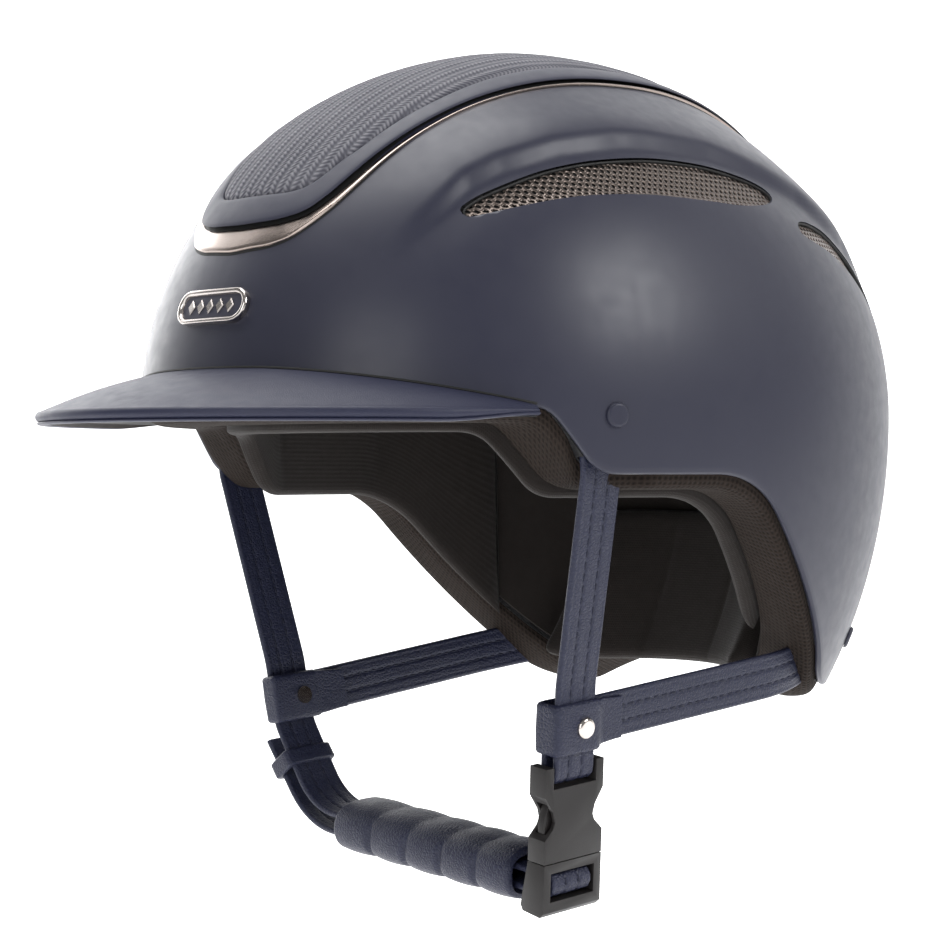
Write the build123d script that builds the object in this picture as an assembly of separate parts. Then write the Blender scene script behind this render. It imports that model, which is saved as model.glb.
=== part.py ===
"""Equestrian riding helmet: shell, peak, impact liner, pads, leather harness and buckle.

Units are millimetres. +Z is up, the peak points towards -Y and the wearer's left is +X.
The origin is the centre of the head opening, level with the lower edge above the ears.
"""
from build123d import *
from math import cos, pi, radians, sin, sqrt, tan
import os

# ---- Shell: an egg with a superellipse plan and elliptical uprights ----
SHELL_HALF_WIDTH = 103.0
SHELL_FRONT = 133.0
SHELL_REAR = 139.0
WIDEST_Y = 21.0
WIDEST_Z = 20.0
CROWN_RISE = 119.0
SKIRT_DROP = 162.0
PLAN_POWER = 2.25
SHELL_WALL = 2.5
SKIRT_ANGLES = (-46, -34, -22, -11)
CROWN_ANGLES = (0, 14, 28, 42, 54, 65, 75, 84)
QUARTER_STEPS = 8

# ---- Lower edge of the shell, seen from the side ----
BROW_EDGE_Z = 21.0
EAR_EDGE_Z = 1.0
LOBE_EDGE_Z = -71.0
BROW_STEP_Y = (-52.0, -36.0)
LOBE_STEP_Y = (27.5, 92.0)
RIM_RADII = [10, 12, 40, 25]
NAPE_ARCH_HALF_WIDTH = 56.0
NAPE_ARCH_RISE = 30.0
NAPE_ARCH_Z = -85.0
REACH = 175.0
FLOOR_Z = -130.0

# ---- Impact liner and pads ----
LINER_SIDE = 18.5
LINER_FRONT = 27.0
LINER_REAR = 29.0
LINER_TOP = 22.5
LINER_LOW = 18.5
BAND_HEIGHT = 5.5
HEADBAND_THICK = 6.0
HEADBAND_TOP_Z = 44.0
HEADBAND_BACK_Y = 78.0
HEADBAND_DROP = 8.0
NAPE_PAD_THICK = 9.0
NAPE_PAD_HALF_WIDTH = 48.0
NAPE_PAD_Z = (-68.0, -12.0)
CROWN_PAD_THICK = 5.0
CROWN_PAD_HALF_WIDTH = 38.0
CROWN_PAD_Y = (-38.0, 78.0)
CROWN_PAD_Z = 60.0
PATCH_RADIUS = 11.0
PATCH_THICK = 0.8
PATCH_SIDE_Y = (-18.0, 52.0)
PATCH_SIDE_Z = 20.0
PATCH_END_Z = 33.0

# ---- Peak ----
PEAK_HALF_WIDTH = 90.5
PEAK_REACH = 100.0
PEAK_ROOT_Y = -55.0
PEAK_EDGE_Z = 17.0
PEAK_SEAM_Z = (32.5, 21.0)
PEAK_POWER = 2.05
PEAK_COVER = 1.2
PEAK_CORE = 2.2
PEAK_LINING = 0.8
WELT_HEIGHT = 1.8
WELT_WIDTH = 2.2

# ---- Crown panel: (half width, y) corners of the fabric insert, front to back ----
PANEL_CORNERS = ((23.0, -89.5), (32.3, -62.0), (36.4, -18.0), (36.4, 22.0), (29.5, 84.0), (19.0, 112.0))
PANEL_RADII = (7.0, 60.0, 60.0, 60.0, 60.0, 9.0)
FRAME_SIDE = 7.6
FRAME_FRONT = 5.5
TRIM_SIDE = 2.6
TRIM_FRONT = 6.2
FABRIC_PROUD = 1.2
FRAME_PROUD = 1.7
TRIM_PROUD = 1.0
INTAKE_HALF_WIDTH = 15.0
INTAKE_DEPTH = 2.2
INTAKE_GAP = 1.4

# ---- Side grilles: (y, z) points seen from the side ----
FRONT_GRILLE_TOP = ((-65.0, 77.0), (-12.0, 97.8), (51.0, 96.0))
FRONT_GRILLE_END = ((51.0, 96.0), (60.3, 91.8), (51.0, 87.0))
FRONT_GRILLE_LOW = ((51.0, 87.0), (-5.0, 86.6), (-65.0, 77.0))
REAR_GRILLE_TOP = ((69.0, 83.0), (97.0, 78.5), (123.0, 56.0))
REAR_GRILLE_LOW = ((123.0, 56.0), (95.0, 67.0), (68.5, 77.5))
REAR_GRILLE_END = ((68.5, 77.5), (65.8, 80.2), (69.0, 83.0))
GRILLE_INSET = 0.4

# ---- Badge ----
BADGE_Z = 51.0
BADGE_LENGTH = 34.0
BADGE_HEIGHT = 11.0
BADGE_RIM = 2.2
BADGE_PROUD = 2.0
BADGE_PLATE_PROUD = 1.2

# ---- Shell rivets ----
TEMPLE_RIVET = (-30.8, 17.8)
NAPE_RIVET = (112.0, -55.5)
RIVET_HEAD_R = 3.8
RIVET_HEAD_HEIGHT = 1.5
RIVET_SHANK_R = 1.8
RIVET_LENGTH = 13.0
WASHER_R = 4.6
WASHER_THICK = 0.8
FASTENER_GAP = 0.1

# ---- Harness: straps drawn in a frame tilted about X at the temple ----
HARNESS_Y = -31.3
HARNESS_Z = 10.0
HARNESS_TILT = 5.0
STRAP_WIDTH = 16.5
REAR_STRAP_WIDTH = 15.0
STRAP_THICK = 2.2
STRAP_TOP_X = 90.3
STRAP_TOP_Z = 27.0
STRAP_EXIT_Z = 1.0
PIVOT_X = -68.0
PIVOT_Z = -89.5
BUCKLE_LEAN = 7.5
BUCKLE_RADIUS = 134.4
POCKET_GAP = 0.3
POCKET_STEPS = 5
POCKET_STEP = 2.6

# ---- Junction sleeves, in the buckle frame ----
SLEEVE_Y = (22.0, 38.2)
SLEEVE_WALL = 1.5
SLEEVE_SLACK = 0.15
REAR_PITCH = 2.2
REAR_PATH = ((13.0, 0.0), (100.0, 3.2), (140.0, -17.4))
REAR_END_GAP = 0.6
REAR_PATH_RADII = [30, 55]
JUNCTION_RIVET_X = 2.0
JUNCTION_RIVET_R = 1.3
JUNCTION_HEAD_R = 3.4
JUNCTION_HEAD_HEIGHT = 1.4
RIGHT_FRONT_SEAT = 0.4
STRAP_END_GAP = 0.7

# ---- Side-release buckle, in the buckle frame (x width, y up the strap, z outward) ----
EAR_SLACK = 0.8
EAR_INNER = STRAP_WIDTH / 2 + EAR_SLACK
EAR_WALL = 3.2
BUCKLE_HALF_WIDTH = EAR_INNER + EAR_WALL
BUCKLE_HALF_THICK = 3.7
MOUTH_Y = -11.3
RING_TOP_Y = -3.8
WAIST_Y = 1.6
WAIST_DEPTH = 4.2
WAIST_HALF_WIDTH = BUCKLE_HALF_WIDTH - WAIST_DEPTH
EAR_LOW_Y = 9.7
FACE_TOP_Y = 12.0
EAR_TOP_Y = 18.8
POCKET_WALL = 1.6
POCKET_HALF_WIDTH = BUCKLE_HALF_WIDTH - POCKET_WALL
POCKET_HALF_THICK = 2.3
POCKET_TOP_Y = 10.2
TOP_BAR_Y = 16.3
TOP_BAR_R = 1.4
LOW_BAR_Y = -19.0
LOW_BAR_R = 1.8
BAR_SLACK = 0.1
BASE_GAP = 0.3
BASE_LOW_Y = -28.4
BASE_HEEL = 6.4
BASE_RAIL = 3.0
ARM_HALF_THICK = 1.5
ARM_INSET = 4.7
ARM_PIVOT = (BUCKLE_HALF_WIDTH - ARM_INSET, -12.3)
ARM_ROOT_R = 1.4
ARM_CLEAR = 0.25
ARM_TIP_Y = 8.4
ARM_SLACK = 0.2
ARM_REACH = POCKET_HALF_WIDTH - ARM_SLACK
TONGUE_HALF_WIDTH = 2.6

# ---- Chin strap, pad and keeper ----
CHIN_SLOPE = 2.8
CHIN_CORNER = 115.0
CHIN_BEND_R = 22.0
TAIL_PAST_KEEPER = 8.0
PAD_START = 12.4
PAD_LENGTH = 86.0
PAD_WALL = 4.1
PAD_BORE_SLACK = 0.45
PAD_EDGE_R = 7.5
KEEPER_LENGTH = 6.0
KEEPER_WALL = 1.6
KEEPER_SLACK = 0.35


# ---- Shapes shared by the shell and the liner ----
def quarter_edge(half_width, half_length, level, side, end):
    """Quarter of a superellipse from the side point to the end point at one height."""
    points = []
    for step in range(QUARTER_STEPS + 1):
        angle = pi / 2 * step / QUARTER_STEPS
        across, along = cos(angle), sin(angle)
        radius = (across**PLAN_POWER + along**PLAN_POWER) ** (-1 / PLAN_POWER)
        x = side * half_width * radius * across
        y = WIDEST_Y + end * half_length * radius * along
        points.append(Vector(x, y, level))
    tangents = [Vector(0, end, 0), Vector(-side, 0, 0)]
    return Edge.make_spline(points, tangents=tangents)


def egg(half_width, front, rear, rise, drop):
    """Closed egg with the given half sizes about its widest point, cut flat low down."""
    sections = []
    for angle in SKIRT_ANGLES + CROWN_ANGLES:
        share = cos(radians(angle))
        height = rise if angle > 0 else drop
        level = WIDEST_Z + height * sin(radians(angle))
        quarters = []
        for side, end in ((1, 1), (-1, 1), (-1, -1), (1, -1)):
            length = rear if end > 0 else front
            quarters.append(quarter_edge(half_width * share, length * share, level, side, end))
        sections.append(Wire(quarters))
    return Solid.make_loft(sections)


def shell_body(inset):
    """The outer shell's solid shape, smaller by inset all round."""
    return egg(
        SHELL_HALF_WIDTH - inset,
        SHELL_FRONT - inset,
        SHELL_REAR - inset,
        CROWN_RISE - inset,
        SKIRT_DROP - inset,
    )


def head_room(inset):
    """The hollow inside the impact liner, smaller by inset all round."""
    return egg(
        SHELL_HALF_WIDTH - SHELL_WALL - LINER_SIDE - inset,
        SHELL_FRONT - SHELL_WALL - LINER_FRONT - inset,
        SHELL_REAR - SHELL_WALL - LINER_REAR - inset,
        CROWN_RISE - SHELL_WALL - LINER_TOP - inset,
        SKIRT_DROP - SHELL_WALL - LINER_LOW - inset,
    )


def below_rim(drop):
    """Everything under the helmet's lower edge, moved down by drop."""
    edge = FilletPolyline(
        (-REACH, BROW_EDGE_Z - drop),
        (BROW_STEP_Y[0], BROW_EDGE_Z - drop),
        (BROW_STEP_Y[1], EAR_EDGE_Z - drop),
        (LOBE_STEP_Y[0], EAR_EDGE_Z - drop),
        (LOBE_STEP_Y[1], LOBE_EDGE_Z - drop),
        (REACH, LOBE_EDGE_Z - drop),
        radius=RIM_RADII,
    )
    sides = Polyline(
        (REACH, LOBE_EDGE_Z - drop), (REACH, FLOOR_Z), (-REACH, FLOOR_Z), (-REACH, BROW_EDGE_Z - drop)
    )
    block = extrude(Plane.YZ * make_face(edge + sides), amount=REACH, both=True)
    arch_plane = Plane(origin=(0, WIDEST_Y, NAPE_ARCH_Z - drop), x_dir=(1, 0, 0), z_dir=(0, 1, 0))
    arch = extrude(arch_plane * Ellipse(NAPE_ARCH_HALF_WIDTH, NAPE_ARCH_RISE), amount=REACH)
    return block + arch


def outer_point(y, z):
    """Point on the wearer's-left outer surface at y and z, and the outward normal there."""
    length = SHELL_REAR if y > WIDEST_Y else SHELL_FRONT
    height = CROWN_RISE if z > WIDEST_Z else SKIRT_DROP
    along = (y - WIDEST_Y) / length
    up = (z - WIDEST_Z) / height
    plan = (1 - up * up) ** (PLAN_POWER / 2)
    across = (plan - abs(along) ** PLAN_POWER) ** (1 / PLAN_POWER)
    scale = plan ** (2 / PLAN_POWER - 1)
    slope_x = scale * across ** (PLAN_POWER - 1) / SHELL_HALF_WIDTH
    slope_y = scale * abs(along) ** (PLAN_POWER - 1) / length * (1 if along > 0 else -1)
    slope_z = up / height
    return Vector(across * SHELL_HALF_WIDTH, y, z), Vector(slope_x, slope_y, slope_z).normalized()


def mirrored(shape):
    """The same shape on the wearer's right."""
    return mirror(shape, about=Plane.YZ)


# ---- Frames of the harness and the buckle ----
HARNESS = Pos(0, HARNESS_Y, HARNESS_Z) * Rot(HARNESS_TILT, 0, 0) * Pos(0, 0, -HARNESS_Z)
LEAN_COS = cos(radians(BUCKLE_LEAN))
LEAN_SIN = sin(radians(BUCKLE_LEAN))
BUCKLE_X = PIVOT_X + BUCKLE_RADIUS * LEAN_COS
BUCKLE_Z = PIVOT_Z - BUCKLE_RADIUS * LEAN_SIN
OUTWARD = Vector(LEAN_COS, 0, -LEAN_SIN)
UPWARD = Vector(LEAN_SIN, 0, LEAN_COS)
BUCKLE = Plane(origin=(BUCKLE_X, 0, BUCKLE_Z), x_dir=(0, 1, 0), z_dir=OUTWARD)
STRAP_SIDE = Plane(origin=(BUCKLE_X, 0, BUCKLE_Z), x_dir=OUTWARD, z_dir=(0, -1, 0))
HALF_THICK = STRAP_THICK / 2
SLOPE_COS = cos(radians(CHIN_SLOPE))
SLOPE_SIN = sin(radians(CHIN_SLOPE))
TOP_TURN = TOP_BAR_R + BAR_SLACK + HALF_THICK
LOW_TURN = LOW_BAR_R + BAR_SLACK + HALF_THICK
SLEEVE_MID = (SLEEVE_Y[0] + SLEEVE_Y[1]) / 2
RIGHT_REAR_SEAT = RIGHT_FRONT_SEAT - STRAP_THICK - 2 * BAR_SLACK


def side_point(x, z):
    """A harness x and z as outward and upward distances from the buckle's centre."""
    dx, dz = x - BUCKLE_X, z - BUCKLE_Z
    return dx * LEAN_COS - dz * LEAN_SIN, dx * LEAN_SIN + dz * LEAN_COS


def ribbon(plane, path, thick, width):
    """A strap: a path in the plane thickened evenly and extruded both ways across it."""
    outline = offset(path, amount=thick / 2, side=Side.BOTH)
    face = make_face(outline.edges())
    return extrude(plane * face, amount=width / 2, both=True)


def front_strap_path(seat, low_end):
    """Line from the temple rivet down through the sleeve, as one wire with rounded corners."""
    corners = [
        side_point(STRAP_TOP_X, STRAP_TOP_Z),
        side_point(STRAP_TOP_X, STRAP_EXIT_Z),
        (seat, SLEEVE_Y[1] + 5),
        (seat, low_end),
    ]
    return FilletPolyline(*corners, radius=[14, 30])


def front_strap_left(thick=STRAP_THICK, width=STRAP_WIDTH):
    """Left front strap, looped round the buckle's top bar and back into the sleeve."""
    outer = front_strap_path(TOP_TURN, TOP_BAR_Y)
    turn = ThreePointArc(
        (TOP_TURN, TOP_BAR_Y), (0, TOP_BAR_Y - TOP_TURN), (-TOP_TURN, TOP_BAR_Y)
    )
    back = Line((-TOP_TURN, TOP_BAR_Y), (-TOP_TURN, SLEEVE_Y[1] - 3))
    return ribbon(STRAP_SIDE, outer + turn + back, thick, width)


def front_strap_right(thick=STRAP_THICK, width=STRAP_WIDTH):
    """Right front strap, which ends just above the chin strap's hinge line."""
    low_end = side_point(-PIVOT_X, PIVOT_Z)[1] + STRAP_THICK + STRAP_END_GAP
    path = front_strap_path(RIGHT_FRONT_SEAT, low_end)
    return mirrored(ribbon(STRAP_SIDE, path, thick, width))


def rear_strap_plane(seat):
    """Plane of a rear strap's path: x outward from the sleeve and y towards the back."""
    pitch = radians(REAR_PITCH)
    across = UPWARD * cos(pitch) - Vector(0, 1, 0) * sin(pitch)
    middle = Vector(BUCKLE_X, 0, BUCKLE_Z) + UPWARD * SLEEVE_MID + OUTWARD * seat
    return Plane(origin=middle, x_dir=OUTWARD, z_dir=across)


def rear_strap(seat, thick=STRAP_THICK, width=REAR_STRAP_WIDTH):
    """Left rear strap from inside the sleeve to the nape rivet."""
    start = -(STRAP_WIDTH / 2 - HALF_THICK - REAR_END_GAP)
    corners = [(0, start)] + [(out, back) for back, out in REAR_PATH]
    corners[-2] = (corners[-2][0] - seat, corners[-2][1])
    corners[-1] = (corners[-1][0] - seat, corners[-1][1])
    path = FilletPolyline(*corners, radius=REAR_PATH_RADII)
    return ribbon(rear_strap_plane(seat), path, thick, width)


def strap_pockets():
    """Room cut in the liner for the four straps, open towards the shell."""
    thick = STRAP_THICK + 2 * POCKET_GAP
    front = front_strap_left(thick, STRAP_WIDTH + 2 * POCKET_GAP)
    rear = rear_strap(0, thick, REAR_STRAP_WIDTH + 2 * POCKET_GAP)
    pockets = []
    for step in range(POCKET_STEPS):
        shift = Pos(step * POCKET_STEP, 0, 0)
        pockets.append(HARNESS * (shift * front))
        pockets.append(HARNESS * (shift * rear))
    return pockets + [mirrored(pocket) for pocket in pockets]


# ---- Shell rivets ----
def rivet_plane(place):
    """Plane on the outer surface at a rivet, facing outward."""
    point, normal = outer_point(*place)
    return Plane(origin=point, z_dir=normal)


def shell_rivet(place, shell_solid):
    """Rivet with a low domed head seated on the shell and a shank through shell and strap."""
    head = Pos(0, 0, RIVET_HEAD_HEIGHT / 2 - 0.3) * Cylinder(RIVET_HEAD_R, RIVET_HEAD_HEIGHT)
    head = fillet(head.edges().group_by(Axis.Z)[-1], RIVET_HEAD_HEIGHT * 0.7)
    shank = Pos(0, 0, 0.5 - RIVET_LENGTH / 2) * Cylinder(RIVET_SHANK_R, RIVET_LENGTH + 1)
    plane = rivet_plane(place)
    return (plane * head - shell_solid) + plane * shank


def shell_rivet_room(place, radius, start, end):
    """Cylinder along a rivet from depth start to depth end below the surface."""
    body = Pos(0, 0, -(start + end) / 2) * Cylinder(radius, end - start)
    return rivet_plane(place) * body


def rivet_washer(place):
    """Flat washer on the inner end of a shell rivet."""
    start = RIVET_LENGTH - WASHER_THICK
    disc = shell_rivet_room(place, WASHER_R, start, RIVET_LENGTH)
    return disc - shell_rivet_room(place, RIVET_SHANK_R + FASTENER_GAP, 0, RIVET_LENGTH + 1)


# ---- Crown panel ----
def panel_region(side, front, rear):
    """Plan outline of the crown panel grown by the given margins, as a tall block."""
    last = len(PANEL_CORNERS) - 1
    right = []
    for index, (half, y) in enumerate(PANEL_CORNERS):
        shift = -front if index == 0 else rear if index == last else 0
        right.append((half + side, y + shift))
    corners = right + [(-x, y) for x, y in reversed(right)]
    radii = [radius + side * 0.3 for radius in PANEL_RADII]
    outline = FilletPolyline(*corners, radius=radii + radii[::-1], close=True)
    return Pos(0, 0, BROW_EDGE_Z) * extrude(make_face(outline.edges()), amount=2 * CROWN_RISE)


def grille_block(*arcs):
    """Block through the shell's left wall with a side outline made of three arcs."""
    edges = [ThreePointArc(*arc) for arc in arcs]
    face = Plane.YZ * make_face(edges[0] + edges[1] + edges[2])
    return Pos(SHELL_HALF_WIDTH * 0.4, 0, 0) * extrude(face, amount=SHELL_HALF_WIDTH)


# ---- Peak ----
def seam_z(y):
    """Height of the seam between peak and shell at y."""
    front_y = WIDEST_Y - SHELL_FRONT
    share = (y - front_y) / (PEAK_ROOT_Y - front_y)
    return PEAK_SEAM_Z[0] + (PEAK_SEAM_Z[1] - PEAK_SEAM_Z[0]) * share


def peak_arc(step, inset):
    """Point of the peak's outer edge in plan, and its shares across and along the peak."""
    angle = pi * step / (2 * QUARTER_STEPS)
    across, along = cos(angle), sin(angle)
    radius = (abs(across) ** PEAK_POWER + along**PEAK_POWER) ** (-1 / PEAK_POWER)
    x = (PEAK_HALF_WIDTH - inset) * radius * across
    y = PEAK_ROOT_Y - (PEAK_REACH - inset) * radius * along
    return x, y, radius * across, radius * along


def edge_wire(inset, level):
    """Closed plan outline of the peak's outer edge at one height."""
    points = [Vector(*peak_arc(step, inset)[:2], level) for step in range(2 * QUARTER_STEPS + 1)]
    return Wire([Edge.make_spline(points), Edge.make_line(points[-1], points[0])])


def seam_wire(inset):
    """Closed outline along the shell where the peak's top meets it."""
    points = []
    for step in range(2 * QUARTER_STEPS + 1):
        _, _, across, along = peak_arc(step, 0)
        y = PEAK_ROOT_Y + (WIDEST_Y - SHELL_FRONT - PEAK_ROOT_Y + inset) * along
        share = abs((WIDEST_Y - y) / SHELL_FRONT) ** PLAN_POWER
        shell_x = SHELL_HALF_WIDTH * max(1 - share, 0) ** (1 / PLAN_POWER)
        x = min(shell_x, (PEAK_HALF_WIDTH - 2) * abs(across)) - inset * abs(across)
        points.append(Vector(x if across >= 0 else -x, y, seam_z(y) - inset))
    return Wire([Edge.make_spline(points), Edge.make_line(points[-1], points[0])])


def peak_block(inset):
    """Solid peak with its outer faces moved in and down by inset, still filled inside."""
    return Solid.make_loft([edge_wire(inset, PEAK_EDGE_Z - inset), seam_wire(inset)], ruled=True)


def peak_layers(shell_solid):
    """Leather cover, stiff core, fabric lining and edge welt of the peak."""
    keep = Pos(0, PEAK_ROOT_Y - REACH / 2, PEAK_EDGE_Z + REACH / 2) * Box(2 * REACH, REACH, REACH)
    depths = (0, PEAK_COVER, PEAK_COVER + PEAK_CORE, PEAK_COVER + PEAK_CORE + PEAK_LINING)
    blocks = [peak_block(depth) for depth in depths]
    layers = []
    for outer, inner in zip(blocks, blocks[1:]):
        layers.append(((outer - inner) & keep) - shell_solid)
    outer, inner = [
        extrude(make_face(edge_wire(inset, PEAK_EDGE_Z)), amount=WELT_HEIGHT, dir=(0, 0, -1))
        for inset in (0, WELT_WIDTH)
    ]
    layers.append(outer - inner - shell_solid)
    return layers


# ---- Buckle ----
def flat(points, half_thick):
    """Plate with a polygon outline, centred on the buckle's mid plane."""
    face = make_face(Polyline(*points, close=True).edges())
    return extrude(face, amount=half_thick, both=True)


def both_sides(points):
    """A right-hand outline closed by its own mirror image."""
    return list(points) + [(-x, y) for x, y in reversed(points)]


def buckle_female():
    """Socket half: mouth ring, waisted face plates with side windows, ears and strap bar."""
    outline = both_sides(
        [
            (BUCKLE_HALF_WIDTH, MOUTH_Y),
            (BUCKLE_HALF_WIDTH, RING_TOP_Y),
            (WAIST_HALF_WIDTH + 0.8, WAIST_Y - 2),
            (WAIST_HALF_WIDTH, WAIST_Y),
            (WAIST_HALF_WIDTH + 0.8, WAIST_Y + 3),
            (BUCKLE_HALF_WIDTH, EAR_LOW_Y),
            (BUCKLE_HALF_WIDTH, EAR_TOP_Y),
            (EAR_INNER, EAR_TOP_Y),
            (EAR_INNER, FACE_TOP_Y),
        ]
    )
    body = flat(outline, BUCKLE_HALF_THICK)
    pocket = flat(
        both_sides(
            [
                (POCKET_HALF_WIDTH, MOUTH_Y - 1),
                (POCKET_HALF_WIDTH, POCKET_TOP_Y - 3),
                (POCKET_HALF_WIDTH - 3, POCKET_TOP_Y),
            ]
        ),
        POCKET_HALF_THICK,
    )
    bar = Pos(0, TOP_BAR_Y, 0) * Rot(0, 90, 0) * Cylinder(TOP_BAR_R, 2 * EAR_INNER + 2)
    return BUCKLE * (body - pocket + bar)


def buckle_male():
    """Plug half: base with a strap bar, centre tongue and sockets for the two arms."""
    top = MOUTH_Y - BASE_GAP
    window_top = LOW_BAR_Y + LOW_TURN + HALF_THICK + BASE_GAP
    window_low = LOW_BAR_Y - LOW_TURN - HALF_THICK - BASE_GAP - BASE_HEEL * SLOPE_SIN
    half = BUCKLE_HALF_WIDTH
    profile = [
        (BUCKLE_HALF_THICK, top),
        (BUCKLE_HALF_THICK, BASE_LOW_Y + 1.5),
        (BUCKLE_HALF_THICK - 1.5, BASE_LOW_Y),
        (-BASE_HEEL + 1, BASE_LOW_Y + 0.6),
        (-BASE_HEEL, BASE_LOW_Y + 2.4),
        (-BUCKLE_HALF_THICK, top),
    ]
    across = Plane(origin=(0, 0, 0), x_dir=(0, 0, 1), z_dir=(-1, 0, 0))
    base = extrude(across * make_face(Polyline(*profile, close=True).edges()), amount=half, both=True)
    window = Pos(0, (window_top + window_low) / 2, 0) * Box(
        2 * (half - BASE_RAIL), window_top - window_low, 4 * BASE_HEEL
    )
    bar = Pos(0, LOW_BAR_Y, 0) * Rot(0, 90, 0) * Cylinder(LOW_BAR_R, 2 * half - BASE_RAIL)
    tongue = flat(
        both_sides(
            [
                (TONGUE_HALF_WIDTH, top - 1),
                (TONGUE_HALF_WIDTH, ARM_TIP_Y - 1.5),
                (TONGUE_HALF_WIDTH - 1.2, ARM_TIP_Y),
            ]
        ),
        ARM_HALF_THICK,
    )
    male = base - window + bar + tongue
    for side in (1, -1):
        male -= arm_room(side)
    return BUCKLE * male


def arm_room(side):
    """Socket in the base around an arm's root, with room to squeeze."""
    x, y = ARM_PIVOT
    radius = ARM_ROOT_R + ARM_CLEAR
    thick = 2 * (ARM_HALF_THICK + ARM_CLEAR)
    bore = Pos(side * x, y, 0) * Cylinder(radius, thick)
    top = MOUTH_Y - BASE_GAP
    neck = Pos(side * (x + 0.15), (y + top) / 2 + 1, 0) * Box(2 * radius + 0.5, top - y + 2, thick)
    return bore + neck


def buckle_arm(side):
    """One sprung arm of the plug half with its finger tab and rounded root."""
    x, y = ARM_PIVOT
    outline = [
        (x - 1.1, y),
        (x + 1.1, y),
        (x + 1.5, RING_TOP_Y - 2.4),
        (ARM_REACH, RING_TOP_Y - 0.6),
        (ARM_REACH, WAIST_Y + 1.2),
        (x + 0.2, ARM_TIP_Y),
        (x - 1.4, ARM_TIP_Y),
        (x - 1.0, WAIST_Y - 4),
    ]
    plate = flat([(side * px, py) for px, py in outline], ARM_HALF_THICK)
    root = Pos(side * x, y, 0) * Cylinder(ARM_ROOT_R, 2 * ARM_HALF_THICK)
    return BUCKLE * (plate + root)


# ---- Chin strap ----
def along_pad(distance, above=0.0):
    """Point in the strap plane at a distance inward from the low bar along the pad line."""
    out = -distance * SLOPE_COS - above * SLOPE_SIN
    up = LOW_BAR_Y - distance * SLOPE_SIN + above * SLOPE_COS
    return out, up


def chin_layout():
    """Corners of the main layer and the tail layer, and the far stretch's direction."""
    pivot = Vector(*side_point(PIVOT_X, PIVOT_Z))
    corner = Vector(*along_pad(CHIN_CORNER, LOW_TURN))
    climb = (pivot - corner).normalized()
    inward = Vector(-SLOPE_COS, -SLOPE_SIN)
    gap = 2 * LOW_TURN
    bisector = (inward - climb).normalized()
    half_turn = inward.get_angle(climb) / 2
    tail_corner = corner + bisector * (gap / cos(radians(half_turn)))
    return pivot, corner, climb, tail_corner


def keeper_middle():
    """Keeper's centre: halfway along the straight far stretch, between the two layers."""
    pivot, corner, climb, tail_corner = chin_layout()
    turn = Vector(-SLOPE_COS, -SLOPE_SIN).get_angle(climb)
    bend = CHIN_BEND_R * tan(radians(turn / 2))
    straight = (pivot - corner).length - bend
    middle = corner + climb * (bend + straight / 2 - 0.6)
    outward = Vector(-climb.Y, climb.X)
    return middle + outward * LOW_TURN, climb


def chin_strap():
    """One strap: hinge end, through the pad, round the low bar and back as the tail."""
    pivot, corner, climb, tail_corner = chin_layout()
    keeper, _ = keeper_middle()
    outward = Vector(-climb.Y, climb.X)
    tail_end = keeper + outward * LOW_TURN + climb * (KEEPER_LENGTH / 2 + TAIL_PAST_KEEPER)
    near_top, near_low = along_pad(0, LOW_TURN), along_pad(0, -LOW_TURN)
    main = FilletPolyline((pivot.X, pivot.Y), (corner.X, corner.Y), near_top, radius=CHIN_BEND_R)
    turn = ThreePointArc(near_top, along_pad(-LOW_TURN), near_low)
    tail = FilletPolyline(
        near_low,
        (tail_corner.X, tail_corner.Y),
        (tail_end.X, tail_end.Y),
        radius=CHIN_BEND_R + 2 * LOW_TURN,
    )
    return ribbon(STRAP_SIDE, main + turn + tail, STRAP_THICK, STRAP_WIDTH)


def strap_tube(middle, direction, length, inner, outer, edge_radius):
    """Rectangular tube round the doubled strap, centred on a point in the strap plane."""
    plane = Plane(
        origin=STRAP_SIDE.from_local_coords(Vector(middle.X, middle.Y, 0)),
        x_dir=(0, 1, 0),
        z_dir=STRAP_SIDE.from_local_coords(direction) - STRAP_SIDE.origin,
    )
    shape = Box(outer[0], outer[1], length)
    shape = fillet(shape.edges().filter_by(Axis.Z), edge_radius)
    return plane * (shape - Box(inner[0], inner[1], length + 1))


def chin_pad():
    """Padded leather tube on the chin strap."""
    middle = Vector(*along_pad(PAD_START + PAD_LENGTH / 2))
    direction = Vector(-SLOPE_COS, -SLOPE_SIN)
    bore = (
        STRAP_WIDTH + 2 * PAD_BORE_SLACK,
        2 * LOW_TURN + STRAP_THICK + 2 * PAD_BORE_SLACK,
    )
    outer = (bore[0] + 2 * PAD_WALL, bore[1] + 2 * PAD_WALL)
    return strap_tube(middle, direction, PAD_LENGTH, bore, outer, PAD_EDGE_R)


def strap_keeper():
    """Narrow leather loop that holds the tail against the strap."""
    middle, climb = keeper_middle()
    bore = (
        STRAP_WIDTH + 2 * KEEPER_SLACK,
        2 * LOW_TURN + STRAP_THICK + 2 * KEEPER_SLACK,
    )
    outer = (bore[0] + 2 * KEEPER_WALL, bore[1] + 2 * KEEPER_WALL)
    return strap_tube(middle, climb, KEEPER_LENGTH, bore, outer, KEEPER_WALL)


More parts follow.
